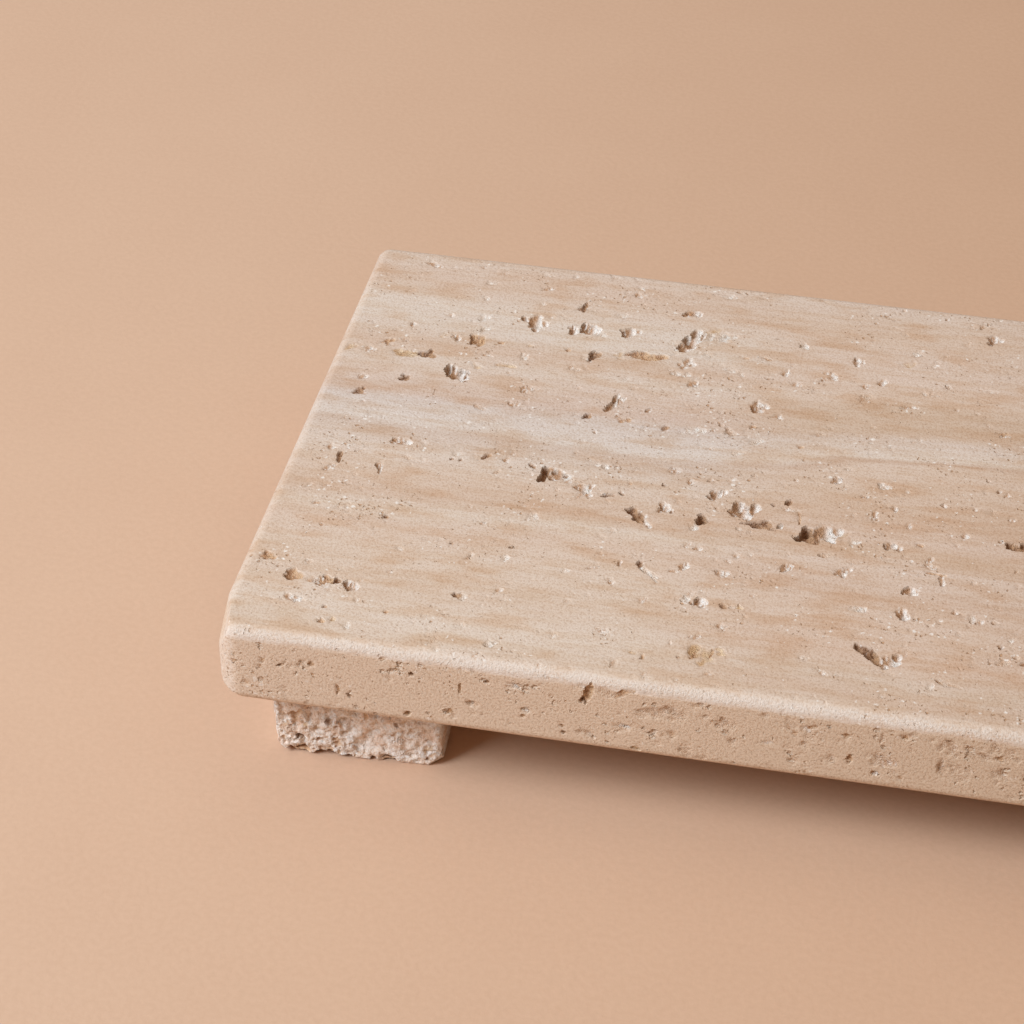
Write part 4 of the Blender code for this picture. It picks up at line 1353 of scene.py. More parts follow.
    def bedding(
        self, tree: NodeTree, place: NodeSocket, parts: Node, along: NodeSocket, block: SawnBlock
    ) -> NodeSocket:
        """Colour the bedding.

        The ramp is read at the share of the slab's depth, swayed by broad noise that is drawn out
        along X, and lifted past the middle of the left half, where the bands rise.

        Args:
            tree: The material's tree.
            place: The place in millimetres.
            parts: The same, taken apart.
            along: The share of the way along the slab.
            block: The slab.

        Returns:
            The colour.
        """
        half_depth = block.half[1] / MM
        end = block.half[0] / MM
        sway = drawn_out_noise(tree, place, (70.0, 34.0, 34.0), 1.0)
        ripple = drawn_out_noise(tree, place, (19.0, 6.0, 6.0), 4.0)
        swayed = add_node(
            tree, "Math", {0: sway, 1: self.sway, 2: parts.outputs["Y"]}, operation="MULTIPLY_ADD"
        )
        swayed = add_node(tree, "Math", {0: ripple, 1: self.ripple, 2: swayed}, operation="MULTIPLY_ADD")
        rise = add_node(
            tree,
            "MapRange",
            {
                "Value": parts.outputs["X"],
                FROM_MIN: -0.36 * end,
                FROM_MAX: -0.04 * end,
                TO_MAX: -self.lift,
            },
            **SMOOTH,
        )
        begins = add_node(
            tree,
            "MapRange",
            {"Value": parts.outputs["Y"], FROM_MIN: -0.20 * half_depth, FROM_MAX: 0.10 * half_depth},
            **SMOOTH,
        )
        ends = add_node(
            tree,
            "MapRange",
            {"Value": parts.outputs["Y"], FROM_MIN: 0.75 * half_depth, FROM_MAX: 0.30 * half_depth},
            **SMOOTH,
        )
        window = add_node(tree, "Math", {0: begins, 1: ends}, operation="MULTIPLY")
        lifted = add_node(tree, "Math", {0: rise, 1: window, 2: swayed}, operation="MULTIPLY_ADD")
        # The sway and the ripple have a mean, which the share is measured from
        mean = 0.5 * (self.sway + self.ripple)
        share = add_node(
            tree,
            "MapRange",
            {"Value": lifted, FROM_MIN: mean - half_depth, FROM_MAX: mean + half_depth},
        )
        near = add_node(tree, "ValToRGB", {0: share})
        set_ramp(near, self.near_bands)
        far = add_node(tree, "ValToRGB", {0: share})
        set_ramp(far, self.far_bands)
        past = add_node(
            tree,
            "MapRange",
            {"Value": parts.outputs["X"], FROM_MIN: -0.46 * end, FROM_MAX: -0.20 * end},
            **SMOOTH,
        )
        fine = drawn_out_noise(tree, place, (12.0, 1.5, 1.5), 4.0)
        streaks = add_node(tree, "ValToRGB", {0: fine})
        set_ramp(streaks, self.streaks)
        deepening = add_node(tree, "ValToRGB", {0: along})
        set_ramp(deepening, self.deepening)
        blotch = drawn_out_noise(tree, place, (14.0, 5.0, 5.0), 5.0)
        blotches = add_node(tree, "ValToRGB", {0: blotch})
        set_ramp(blotches, self.blotches)
        return layered(
            tree,
            near,
            (past, far, "MIX"),
            (1.0, streaks, "MULTIPLY"),
            (1.0, blotches, "MULTIPLY"),
            (1.0, deepening, "MULTIPLY"),
        )

    def honed_mask(self, tree: NodeTree, parts: Node, wander: NodeSocket, block: SawnBlock) -> NodeSocket:
        """Mark the honed top down to the foot of its arris, where the honing stops sharply.

        Args:
            tree: The material's tree.
            parts: The place in millimetres, taken apart.
            wander: Noise with features of 2 mm.
            block: The slab.

        Returns:
            1 on the honed top and 0 on the sawn sides.
        """
        level = add_node(
            tree, "Math", {0: wander, 1: 0.9, 2: parts.outputs["Z"]}, operation="MULTIPLY_ADD"
        )
        limit = (block.high[2] - 0.93 * block.arris) / MM + 0.45
        return add_node(
            tree, "MapRange", {"Value": level, FROM_MIN: limit - 0.25, FROM_MAX: limit + 0.25}, **SMOOTH
        ).outputs[0]

    def rubbed_arrises(
        self, tree: NodeTree, parts: Node, wander: NodeSocket, bruises: NodeSocket, block: SawnBlock
    ) -> tuple[NodeSocket, NodeSocket]:
        """Mark the rubbed arrises and the ground plan corners.

        A point is on an arris where it is near a side in plan and high enough, and on a corner
        where it is near two sides and below the arris. The sides were rubbed more than the ends,
        and the front corners were ground more than the back ones.

        Args:
            tree: The material's tree.
            parts: The place in millimetres, taken apart.
            wander: Noise with features of 2 mm.
            bruises: How strongly each crystal of an arris is bruised, about 1.
            block: The slab.

        Returns:
            How far a point is rubbed, and how far it is ground, from 0 to 1.
        """
        distances = []
        for axis, half in enumerate(block.half[:2] / MM):
            away = add_node(tree, "Math", {0: parts.outputs[axis]}, operation="ABSOLUTE")
            distance = add_node(tree, "Math", {0: half, 1: away}, operation="SUBTRACT")
            distances.append(distance.outputs[0])
        nearest = add_node(tree, "Math", {0: distances[0], 1: distances[1]}, operation="MINIMUM")
        farther = add_node(tree, "Math", {0: distances[0], 1: distances[1]}, operation="MAXIMUM")
        arris = block.arris / MM
        # The noise is about 0.5, so the ranges below are shifted by half of the raggedness
        mean = 0.5 * self.raggedness
        inner = add_node(
            tree, "Math", {0: wander, 1: self.raggedness, 2: nearest}, operation="MULTIPLY_ADD"
        )
        by_edge = add_node(
            tree,
            "MapRange",
            {"Value": inner, FROM_MIN: 0.80 * arris + mean, FROM_MAX: 0.25 * arris + mean},
            **SMOOTH,
        )
        by_end = add_node(
            tree,
            "MapRange",
            {
                "Value": distances[0],
                FROM_MIN: 2.0 * arris,
                FROM_MAX: arris,
                TO_MIN: self.rubbed_side,
                TO_MAX: self.rubbed_end,
            },
            **SMOOTH,
        )
        top = block.high[2] / MM
        above = add_node(
            tree,
            "MapRange",
            {"Value": parts.outputs["Z"], FROM_MIN: top - 0.90 * arris, FROM_MAX: top - 0.50 * arris},
            **SMOOTH,
        )
        along = add_node(tree, "Math", {0: by_edge, 1: above}, operation="MULTIPLY")
        along = add_node(tree, "Math", {0: along, 1: by_end}, operation="MULTIPLY")
        along = add_node(tree, "Math", {0: along, 1: bruises}, operation="MULTIPLY", use_clamp=True)
        corner = block.corner / MM
        near_corner = add_node(
            tree, "Math", {0: wander, 1: self.raggedness, 2: farther}, operation="MULTIPLY_ADD"
        )
        ground_most = add_node(
            tree,
            "MapRange",
            {
                "Value": parts.outputs["Y"],
                FROM_MIN: -0.5 * block.half[1] / MM,
                FROM_MAX: 0.0,
                TO_MIN: self.ground_front,
                TO_MAX: self.ground_back,
            },
        )
        at_corner = add_node(
            tree,
            "MapRange",
            {"Value": near_corner, FROM_MIN: 0.90 * corner + mean, FROM_MAX: 0.66 * corner + mean},
            **SMOOTH,
        )
        at_corner = add_node(tree, "Math", {0: at_corner, 1: ground_most}, operation="MULTIPLY")
        below = add_node(
            tree,
            "MapRange",
            {"Value": parts.outputs["Z"], FROM_MIN: top - 0.1 * arris, FROM_MAX: top - 0.7 * arris},
            **SMOOTH,
        )
        at_corner = add_node(tree, "Math", {0: at_corner, 1: below}, operation="MULTIPLY")
        at_corner = add_node(
            tree, "Math", {0: at_corner, 1: bruises}, operation="MULTIPLY", use_clamp=True
        )
        return along.outputs[0], at_corner.outputs[0]


@dataclass(frozen=True)
class RoughTravertine:
    """Travertine broken and sawn into blocks, with no honing.

    The saw and the breaks leave a dry, sandy surface with no sheen, mottled tan and lavender
    grey, with rust and ochre where water ran through the stone.

    Attributes:
        mottles: The stone's colours, by share of the mottling noise.
        grain: The tints of the crystals, by share of their noise.
        recess_shade: The colour that bare stone takes deep in a void: painted shade, partly the void's
            own brown.
        roughness: The roughness of the sawn face.
        relief: The height of the crystals in millimetres.
        pit: The depth of a pit in millimetres.
    """

    mottles: tuple[tuple[float, str], ...] = (
        (0.30, "#E6C5A9"), (0.42, "#F4DECD"), (0.50, "#F8EADE"), (0.60, "#F9F0E9"),
        (0.72, "#FBF6F2"),
    )
    grain: tuple[tuple[float, str], ...] = ((0.34, "#E0CDBB"), (0.50, "#FDFBF9"), (0.60, "#FFFFFF"))
    recess_shade: str = "#B1845E"
    roughness: float = 0.85
    relief: float = 0.50
    pit: float = 0.42

    def material(self) -> Material:
        """Make the material.

        Returns:
            The material.
        """
        material, tree = new_tree("rough_travertine")
        place = object_millimetres(tree)
        mottling = add_node(
            tree, "TexNoise", {"Vector": place, "Scale": 0.22, "Detail": 4.0, "Roughness": 0.62}
        )
        base = add_node(tree, "ValToRGB", {0: mottling})
        set_ramp(base, self.mottles)
        noise = add_node(
            tree, "TexNoise", {"Vector": place, "Scale": 1.7, "Detail": 2.0, "Roughness": 0.8}
        )
        grain = add_node(tree, "ValToRGB", {0: noise})
        set_ramp(grain, self.grain)
        colour = layered(tree, base, (1.0, grain, "MULTIPLY"))
        colour = lined(tree, colour, linear(self.recess_shade), noise, from_depth=1.3)
        pits = spots(tree, place, cell=1.6, share=0.70, radius=0.60, strength=1.0)
        relief = add_node(tree, "Math", {0: pits, 1: -self.pit}, operation="MULTIPLY")
        relief = add_node(tree, "Math", {0: noise, 1: self.relief, 2: relief}, operation="MULTIPLY_ADD")
        finish_stone(tree, colour, relief, self.roughness)
        return material


@dataclass(frozen=True)
class CuredAdhesive:
    """Knife-grade stone adhesive, tinted to the stone and cured.

    It gives a smooth tan bead with a low waxy sheen where it was squeezed out.

    Attributes:
        body: The colour of the bead.
        dust: The colour of the stone dust in it.
        roughness: The roughness of its skin.
        relief: The height of its ripples in millimetres.
    """

    body: str = "#C9A47F"
    dust: str = "#D8BDA2"
    roughness: float = 0.42
    relief: float = 0.08

    def material(self) -> Material:
        """Make the material.

        Returns:
            The material.
        """
        material, tree = new_tree("cured_adhesive")
        place = object_millimetres(tree)
        noise = add_node(tree, "TexNoise", {"Vector": place, "Scale": 0.9, "Detail": 3.0})
        colour = layered(tree, linear(self.body), (noise, linear(self.dust), "MIX"))
        relief = add_node(tree, "Math", {0: noise, 1: self.relief}, operation="MULTIPLY")
        finish_stone(tree, colour, relief, self.roughness)
        return material


@dataclass(frozen=True)
class PaperSweep:
    """Uncoated art paper laid flat under the object.

    Its felt gives a matt surface with a faint cloudiness, and no sheen. Its colour darkens a
    little from left to right, a painted shade of the light falling off away from the lamp.

    Attributes:
        body: The paper's colour.
        cloud: The colour that its thin places take.
        painted_falloff: The tints that its colour takes from left to right, painted shade.
        felt: The tints of its fibres.
        roughness: The roughness of the felt.
        relief: The height of its fibres in millimetres.
    """

    body: str = "#DAB79C"
    cloud: str = "#D6B297"
    painted_falloff: tuple[tuple[float, str], ...] = ((0.30, "#FFFFFF"), (0.66, "#F6F1EC"))
    felt: tuple[tuple[float, str], ...] = ((0.35, "#FBFAF9"), (0.65, "#FFFFFF"))
    roughness: float = 0.95
    relief: float = 0.06

    def material(self) -> Material:
        """Make the material.

        Returns:
            The material.
        """
        material, tree = new_tree("paper_sweep")
        place = object_millimetres(tree)
        clouds = add_node(tree, "TexNoise", {"Vector": place, "Scale": 0.03, "Detail": 4.0})
        fibre = add_node(tree, "TexNoise", {"Vector": place, "Scale": 0.7, "Detail": 5.0})
        parts = add_node(tree, "SeparateXYZ", {0: place})
        # Painted shade: the paper darkens from left to right, as the lamp's light falls off
        across = add_node(
            tree, "MapRange", {"Value": parts.outputs["X"], FROM_MIN: -400.0, FROM_MAX: 250.0}
        )
        tints = add_node(tree, "ValToRGB", {0: across})
        set_ramp(tints, self.painted_falloff)
        felt = add_node(tree, "ValToRGB", {0: fibre})
        set_ramp(felt, self.felt)
        colour = layered(
            tree,
            linear(self.body),
            (clouds, linear(self.cloud), "MIX"),
            (1.0, tints, "MULTIPLY"),
            (1.0, felt, "MULTIPLY"),
        )
        relief = add_node(tree, "Math", {0: fibre, 1: self.relief}, operation="MULTIPLY")
        finish_stone(tree, colour, relief, self.roughness)
        return material


def object_millimetres(tree: NodeTree) -> NodeSocket:
    """Return the place on the object in millimetres, in which the patterns' sizes are given."""
    coordinates = add_node(tree, "TexCoord")
    place = {0: coordinates.outputs["Object"], "Scale": METRE_IN_MM}
    return add_node(tree, "VectorMath", place, operation="SCALE").outputs[0]


def drawn_out_noise(
    tree: NodeTree, place: NodeSocket, size: tuple[float, float, float], detail: float
) -> NodeSocket:
    """Return noise that is drawn out along an axis.

    Args:
        tree: The material's tree.
        place: The place in millimetres.
        size: The size of its features along each axis, in millimetres.
        detail: How many finer noises it has.

    Returns:
        The noise, about 0.5.
    """
    scaled = add_node(
        tree, "VectorMath", {0: place, 1: tuple(1.0 / s for s in size)}, operation="MULTIPLY"
    )
    return add_node(tree, "TexNoise", {"Vector": scaled, "Scale": 1.0, "Detail": detail}).outputs[0]


def layered(tree: NodeTree, colour: Any, *layers: tuple[Any, Any, str]) -> NodeSocket:
    """Lay colours over a first one, in turn.

    Args:
        tree: The material's tree.
        colour: The first colour.
        *layers: For each layer how far it covers, from 0 to 1, its colour and its blend type.

    Returns:
        The colour.
    """
    for cover, laid, blend in layers:
        colour = add_node(
            tree,
            "Mix",
            {MIX_FACTOR: cover, MIX_A: colour, MIX_B: laid},
            data_type="RGBA",
            blend_type=blend,
        ).outputs[MIX_COLOUR]
    return colour


def spots(
    tree: NodeTree, place: NodeSocket, cell: float, share: float, radius: float, strength: float
) -> NodeSocket:
    """Spread ragged spots that crowd in patches.

    A cell of a Voronoi pattern holds a spot where the cell's random value is high enough, and the
    value also sets the spot's radius, which broad noise swells and shrinks from place to place.

    Args:
        tree: The material's tree.
        place: The place in millimetres.
        cell: The size of a cell in millimetres.
        share: The share of cells that hold a spot where spots neither crowd nor thin out.
        radius: The radius of the largest spot in millimetres.
        strength: The value inside a spot.

    Returns:
        How far a point lies in a spot, from 0 to the strength.
    """
    ragged = add_node(tree, "TexNoise", {"Vector": place, "Scale": 1.3, "Detail": 2.0})
    swayed = add_node(
        tree,
        "VectorMath",
        {0: ragged.outputs["Color"], 1: (1.3, 1.3, 1.3), 2: place},
        operation="MULTIPLY_ADD",
    )
    cells = add_node(tree, "TexVoronoi", {"Vector": swayed, "Scale": 1.0 / cell, "Randomness": 1.0})
    chance = add_node(tree, "SeparateColor", {0: cells.outputs["Color"]})
    crowding = add_node(tree, "TexNoise", {"Vector": place, "Scale": 0.09, "Detail": 3.0})
    swell = 0.5 * share
    crowding = add_node(
        tree,
        "MapRange",
        {"Value": crowding, FROM_MIN: 0.35, FROM_MAX: 0.65, TO_MIN: -swell, TO_MAX: swell},
    )
    size = add_node(tree, "Math", {0: chance, 1: crowding}, operation="ADD")
    size = add_node(
        tree,
        "MapRange",
        {"Value": size, FROM_MIN: 1.0 - share, FROM_MAX: 1.0, TO_MIN: -0.03, TO_MAX: radius / cell},
        clamp=False,
    )
    inside = add_node(tree, "Math", {0: size, 1: cells.outputs["Distance"]}, operation="SUBTRACT")
    return add_node(
        tree,
        "MapRange",
        {"Value": inside, FROM_MIN: 0.0, FROM_MAX: 0.9 * radius / cell, TO_MAX: strength},
        **SMOOTH,
    ).outputs[0]


def lined(tree: NodeTree, colour: Any, recess_shade: Any, noise: Any, from_depth: float) -> NodeSocket:
    """Colour the inside of the voids: bare stone browns with depth as painted shade, under a crusty
    lining.

    Args:
        tree: The material's tree.
        colour: The stone's colour.
        recess_shade: The painted shade of a deep recess, partly the void's own brown.
        noise: Noise with features as large as the crystals.
        from_depth: The depth in millimetres from which the painted shade browns the stone.

    Returns:
        The colour.
    """
    hollow = add_node(tree, "Attribute", attribute_name="hollow")
    lining = add_node(tree, "Attribute", attribute_name="lining")
    # Painted shade: the deeper a point lies in a void, the more it takes the dark brown
    deep = add_node(
        tree,
        "MapRange",
        {"Value": hollow.outputs["Fac"], FROM_MIN: from_depth, FROM_MAX: from_depth + 3.0, TO_MAX: 0.65},
    )
    crust = add_node(
        tree, "MapRange", {"Value": noise, FROM_MIN: 0.34, FROM_MAX: 0.52, TO_MIN: 0.45, TO_MAX: 1.0}
    )
    cover = add_node(tree, "Math", {0: lining.outputs["Alpha"], 1: crust}, operation="MULTIPLY")
    return layered(tree, colour, (deep, recess_shade, "MIX"), (cover, lining.outputs["Color"], "MIX"))


def finish_stone(tree: NodeTree, colour: Any, relief: Any, roughness: float) -> None:
    """End a material in a matt shader whose normal follows a relief.

    Args:
        tree: The material's tree.
        colour: The surface's colour.
        relief: The height of its relief in millimetres.
        roughness: Its roughness.
    """
    bump = add_node(tree, "Bump", {"Strength": 1.0, "Distance": MM, "Height": relief})
    shader = add_node(
        tree,
        "BsdfPrincipled",
        {"Base Color": colour, "Roughness": roughness, "IOR": CALCITE_IOR, "Normal": bump},
    )
    add_node(tree, "OutputMaterial", {0: shader})


def hand_in(piece: Object, node: str, material: Material) -> None:
    """Dress a finished piece and let it stand for its node.

    Args:
        piece: The piece, which lies where its node does.
        node: The node's name.
        material: Its finish.
    """
    piece.data.materials.clear()
    piece.data.materials.append(material)
    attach(piece, "root")
    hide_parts(node)
    LOG.info("%s: %d triangles", piece.name, count_triangles(piece))


@dataclass
class Slab:
    """The tray's slab.

    Attributes:
        corner: The radius of its front plan corners.
        back_corner: The radius of its back plan corners.
        arris: The radius of its eased arrises.
        largest_void: The length that the shares of its voids are taken of.
        spacing: The distance between neighbouring points before thinning.
        triangles: How many triangles are left after thinning.
        raggedness: How far the mouths and floors of its large voids wander.
        sharp_from: The angle from which its edges are shaded sharp.
        seed: What its voids are drawn from.
        finish: Its finish.
    """

    corner: float = 5.5 * MM
    back_corner: float = 3.1 * MM
    arris: float = 2.8 * MM
    largest_void: float = 12.0 * MM
    spacing: float = 0.30 * MM
    triangles: int = 190000
    raggedness: float = 0.62 * MM
    sharp_from: float = math.radians(38.0)
    seed: int = 11
    finish: HonedTravertine = HonedTravertine()

    def build(self) -> Object:
        """Build and dress the slab.

        Returns:
            The piece.
        """
        low, high = (np.array(corner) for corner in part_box("slab"))
        facets = worn_facets(low, high, self.corner, WORN_FACETS)
        block = SawnBlock(low, high, self.corner, self.back_corner, self.arris, facets)
        bed = VoidBed(block, self.largest_void, self.seed)
        for side, voids in (
            (Side.TOP, TOP_VOID_SHARES),
            (Side.FRONT, FRONT_VOID_SHARES),
            (Side.BACK, BACK_VOID_SHARES),
            (Side.RIGHT, END_VOID_SHARES),
            (Side.LEFT, END_VOID_SHARES),
            (Side.UNDERSIDE, UNDERSIDE_VOID_SHARES),
        ):
            for void in voids:
                bed.add(side, void)
        for pits in SLAB_SCATTERS:
            bed.scatter(pits)
        surface = bed.dig(block.surface(point_spacing(self.spacing)), self.raggedness)
        piece = add_mesh("travertine_slab", surface)
        thin(piece, self.triangles)
        store_lining(piece, *bed.line(read_points(piece)))
        shade(piece, self.sharp_from)
        hand_in(piece, "slab", self.finish.material(block))
        return piece


@dataclass
class Foot:
    """One foot of the tray.

    Attributes:
        spot: Where it stands, such as front_left.
        skew: How far it was set askew.
        quarter_turns: How many quarter turns its most open side is turned from the front.
        seed: What its voids are drawn from.
        corner: The radius of its plan corners.
        arris: The radius of its arrises.
        largest_void: The length that the shares of its voids are taken of.
        spacing: The distance between neighbouring points before thinning.
        triangles: How many triangles are left after thinning.
        raggedness: How far the mouths and floors of its large voids wander.
        sharp_from: The angle from which its edges are shaded sharp.
        hollows: The sizes and the depths of the hollows of its rough sides, in millimetres.
        left_sawn: The noise up to which the sawn plane is left, and that from which it is gone.
        rough_share: How much of the hollows' depth every side has.
        open_share: How much the most open side has besides.
        vuggy_share: How much the left half of that side has besides.
        smooth_share: How much less the smoothest side has.
    """

    spot: str
    skew: float
    quarter_turns: int
    seed: int
    corner: float = 1.3 * MM
    arris: float = 0.8 * MM
    largest_void: float = 5.0 * MM
    spacing: float = 0.26 * MM
    triangles: int = 80000
    raggedness: float = 0.60 * MM
    sharp_from: float = math.radians(42.0)
    hollows: tuple[tuple[float, float], ...] = ((3.2, 1.2), (1.5, 1.1), (0.7, 0.55))
    left_sawn: tuple[float, float] = (-0.15, 0.75)
    rough_share: float = 0.35
    open_share: float = 0.30
    vuggy_share: float = 0.45
    smooth_share: float = 0.20

    def build(self, material: Material) -> Object:
        """Build and dress the foot.

        Args:
            material: Its finish.

        Returns:
            The piece.
        """
        low, high = (np.array(corner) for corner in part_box(f"foot_{self.spot}"))
        skew = abs(self.skew)
        width = (high[0] - low[0]) / (math.cos(skew) + math.sin(skew))
        half = np.array((width, width, high[2] - low[2])) / 2.0
        facets = worn_facets(-half, half, self.arris, FOOT_FACETS)
        block = SawnBlock(-half, half, self.corner, self.corner, self.arris, facets)
        bed = VoidBed(block, self.largest_void, self.seed)
        for side, voids in FOOT_VOID_SHARES.items():
            for void in voids:
                bed.add(side, void)
        self.bite(bed)
        for pits in FOOT_SCATTERS:
            bed.scatter(pits)
        surface = self.weathered(block.surface(point_spacing(self.spacing)))
        surface = bed.dig(surface, self.raggedness)
        piece = add_mesh(f"rough_foot_{self.spot}", surface)
        thin(piece, self.triangles)
        store_lining(piece, *bed.line(read_points(piece)))
        turn = self.skew + self.quarter_turns * QUARTER_TURN
        write_points(piece, turned(read_points(piece), turn, (low + high) / 2.0))
        shade(piece, self.sharp_from)
        hand_in(piece, f"foot_{self.spot}", material)
        return piece

    def bite(self, bed: VoidBed) -> None:
        """Chew the lower edge of the most open side.

        Args:
            bed: The foot's voids.
        """
        face = bed.block.face(Side.FRONT)
        axes = np.array((face.along, face.up, face.out))
        for along_share, length_share, height_share in FOOT_BITE_SHARES:
            radii = np.array((length_share / 2.0, height_share, 0.7)) * self.largest_void
            bed.place(face.corner + face.along * face.length * along_share, axes, radii, IRON)

    def weathered(self, surface: Surface) -> Surface:
        """Roughen the sides, most on the open one, by moving points in along their normals.

        The distance is a sum of noises at three sizes, each kept only where it is above zero, so
        that the sawn plane is left between the hollows. It is weighted by how open a side is.

        Args:
            surface: The foot's skin.

        Returns:
            The roughened skin.
        """
        points, normals = surface.points, surface.normals
        inwards = np.zeros(len(points))
        for number, (cell, depth) in enumerate(self.hollows):
            noise = stone_noise(points, cell * MM, self.seed + 5 + number)[:, 0]
            inwards += depth * MM * smooth_step(noise, *self.left_sawn)
        open_side = smooth_step(-normals[:, 1], 0.2, 0.8)
        smooth_side = smooth_step(normals[:, 0], 0.2, 0.8)
        upright = 1.0 - np.abs(normals[:, 2])
        vuggy = smooth_step(-points[:, 0], -0.2 * points[:, 0].max(), 0.3 * points[:, 0].max())
        weight = self.rough_share + open_side * (self.open_share + self.vuggy_share * vuggy)
        weight = upright * (weight - self.smooth_share * smooth_side)
        return surface._replace(points=points - normals * (inwards * weight)[:, None])


@dataclass
class AdhesiveBed:
    """The cured adhesive between one foot and the slab.

    Attributes:
        spot: The foot's spot.
        gap: How far the bead stays from the stone above and below.
        corner: The radius of its plan corners.
        wobble: How far its squeezed-out edge wanders.
        wave: The size of the waves that it wanders in.
        spacing: The distance between neighbouring points before thinning.
        triangles: How many triangles are left after thinning.
        sharp_from: The angle from which its edges are shaded sharp.
        seed: What the waves are drawn from.
    """

    spot: str
    gap: float = 0.02 * MM
    corner: float = 4.0 * MM
    wobble: float = 0.7 * MM
    wave: float = 3.0 * MM
    spacing: float = 0.30 * MM
    triangles: int = 9000
    sharp_from: float = math.radians(60.0)
    seed: int = 71

    def build(self, material: Material) -> Object:
        """Build and dress the bead, from the foot's top to the slab's underside.

        Its edge is that of its solid, moved in by noise along the plan normal.

        Args:
            material: Its finish.

        Returns:
            The piece.
        """
        low, high = (np.array(corner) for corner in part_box(f"adhesive_{self.spot}"))
        low[2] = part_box(f"foot_{self.spot}")[1][2] + self.gap
        high[2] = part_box("slab")[0][2] - self.gap
        block = SawnBlock(low, high, self.corner, self.corner, 0.49 * (high[2] - low[2]))
        surface = block.surface(self.spacing)
        outwards = surface.normals.copy()
        outwards[:, 2] = 0.0
        noise = 0.5 + 0.5 * stone_noise(surface.points, self.wave, self.seed)
        surface = surface._replace(points=surface.points - outwards * noise * self.wobble)
        piece = add_mesh(f"adhesive_bead_{self.spot}", surface)
        thin(piece, self.triangles)
        shade(piece, self.sharp_from)
        hand_in(piece, f"adhesive_{self.spot}", material)
        return piece


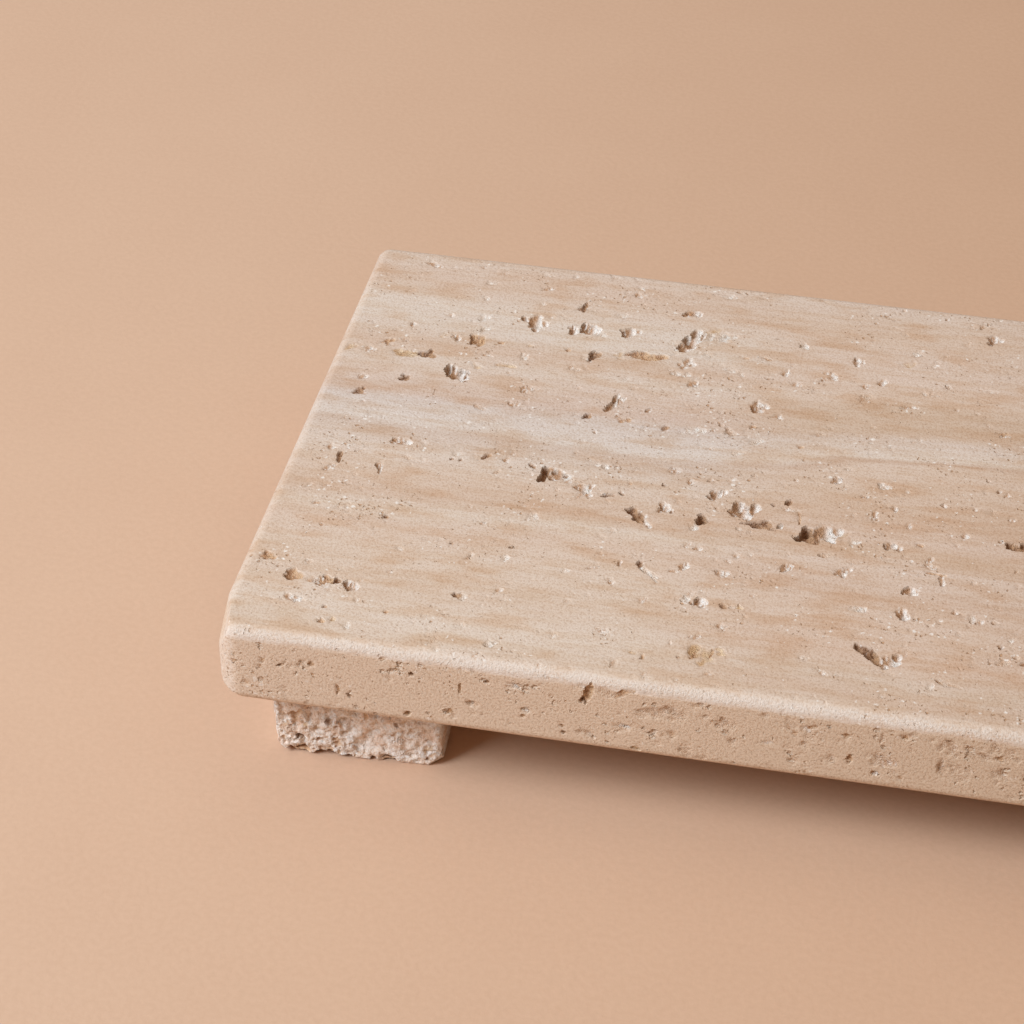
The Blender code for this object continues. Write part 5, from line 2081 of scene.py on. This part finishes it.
@dataclass
class Studio:
    """The paper floor, the soft light and the camera.

    Attributes:
        eye: Where the camera stands.
        pitch: How far it looks down.
        yaw: How far it looks to the left of +Y.
        focal_share: The focal length as a share of the picture's width.
        sensor: The sensor's width in millimetres.
        towards_light: The way from the tray to the middle of the lamp.
        lamp_distance: How far off the lamp hangs.
        lamp_size: The side of the lamp's square diffuser.
        lamp_power: The lamp's power in watts.
        lamp_tint: The colour of its light.
        fill_low: The strength of the light from all round near the horizon.
        fill_high: Its strength overhead.
        fill_tint: The colour of that light, most of which the paper throws back.
        paper_seen: The colour of the room that the camera and reflections see.
        floor_side: The side of the paper floor.
        finish: The paper's finish.
    """

    eye: tuple[float, float, float] = (0.00735, -0.52204, 0.43896)
    pitch: float = math.radians(38.035)
    yaw: float = math.radians(11.747)
    focal_share: float = 2.8739
    sensor: float = 36.0
    towards_light: tuple[float, float, float] = (-0.60, -0.45, 0.66)
    lamp_distance: float = 2.7
    lamp_size: float = 1.28
    lamp_power: float = 81.0
    lamp_tint: str = "#E8F4FF"
    fill_low: float = 0.03
    fill_high: float = 0.53
    fill_tint: str = "#FFEAD3"
    paper_seen: str = "#D2AC8F"
    floor_side: float = 8.0
    finish: PaperSweep = PaperSweep()

    def build(self) -> None:
        """Build the floor, the lights and the camera."""
        self.add_floor()
        self.add_lamp()
        self.add_world()
        self.add_camera()

    def add_floor(self) -> None:
        """Lay the paper, a flat grid at the height that the feet stand on."""
        reach = self.floor_side / 2.0
        x, y = np.meshgrid(np.linspace(-reach, reach, 9), np.linspace(-reach, reach, 9), indexing="ij")
        points = np.stack((x.ravel(), y.ravel(), np.full(x.size, CAD_BOX[0][2] - 0.02 * MM)), axis=1)
        number = np.arange(x.size).reshape(x.shape)
        quads = np.stack(
            (number[:-1, :-1], number[1:, :-1], number[1:, 1:], number[:-1, 1:]), axis=-1
        ).reshape(-1, 4)
        # Nothing is dug into the paper, so its normals stay unused
        floor = add_mesh("paper_floor", Surface(points, points, quads, np.empty((0, 3), int)))
        floor.data.materials.append(self.finish.material())

    def add_lamp(self) -> None:
        """Hang the large softbox."""
        lamp = bpy.data.lights.new("softbox", "AREA")
        lamp.shape = "SQUARE"
        lamp.size = self.lamp_size
        lamp.energy = self.lamp_power
        lamp.color = linear(self.lamp_tint)[:3]
        hung = bpy.data.objects.new("softbox", lamp)
        bpy.context.scene.collection.objects.link(hung)
        way = np.array(self.towards_light) / np.linalg.norm(self.towards_light)
        hung.location = way * self.lamp_distance
        hung.rotation_euler = hung.location.to_track_quat("Z", "Y").to_euler()
        hung.visible_camera = False

    def add_world(self) -> None:
        """Fill the room with even light, which the camera and reflections see as pale paper."""
        world = bpy.data.worlds.new("studio")
        world.use_nodes = True
        tree = world.node_tree
        tree.nodes.clear()
        rays = add_node(tree, "LightPath")
        seen = add_node(
            tree,
            "Math",
            {0: rays.outputs["Is Camera Ray"], 1: rays.outputs["Is Glossy Ray"]},
            operation="MAXIMUM",
        )
        seen = add_node(
            tree, "Math", {0: seen, 1: rays.outputs["Is Transmission Ray"]}, operation="MAXIMUM"
        )
        way = add_node(tree, "TexCoord")
        way = add_node(tree, "SeparateXYZ", {0: way.outputs["Generated"]})
        strength = add_node(
            tree,
            "MapRange",
            {
                "Value": way.outputs["Z"],
                FROM_MIN: 0.2,
                FROM_MAX: 0.8,
                TO_MIN: self.fill_low,
                TO_MAX: self.fill_high,
            },
        )
        fill = add_node(tree, "Background", {"Color": linear(self.fill_tint), "Strength": strength})
        paper = add_node(tree, "Background", {"Color": linear(self.paper_seen), "Strength": 1.0})
        room = add_node(tree, "MixShader", {0: seen, 1: fill, 2: paper})
        add_node(tree, "OutputWorld", {0: room})
        bpy.context.scene.world = world

    def add_camera(self) -> None:
        """Stand the camera where the tray's edges put it."""
        lens = bpy.data.cameras.new("camera")
        lens.sensor_width = self.sensor
        lens.lens = self.focal_share * self.sensor
        lens.clip_start = 0.01
        camera = bpy.data.objects.new("camera", lens)
        bpy.context.scene.collection.objects.link(camera)
        camera.location = self.eye
        camera.rotation_euler = (QUARTER_TURN - self.pitch, 0.0, self.yaw)
        bpy.context.scene.camera = camera


def main() -> None:
    """Build the tray, then the studio round it."""
    logging.basicConfig(level=logging.INFO, format="%(name)s: %(message)s")
    bpy.context.scene.view_settings.view_transform = "Standard"
    Slab().build()
    rough = RoughTravertine().material()
    cured = CuredAdhesive().material()
    for foot in (
        Foot("front_left", math.radians(3.5), 0, 101),
        Foot("front_right", math.radians(-1.5), 3, 202),
        Foot("back_left", math.radians(-2.0), 2, 303),
        Foot("back_right", math.radians(1.0), 1, 404),
    ):
        foot.build(rough)
        AdhesiveBed(foot.spot).build(cured)
    Studio().build()


if __name__ == "__main__":
    main()
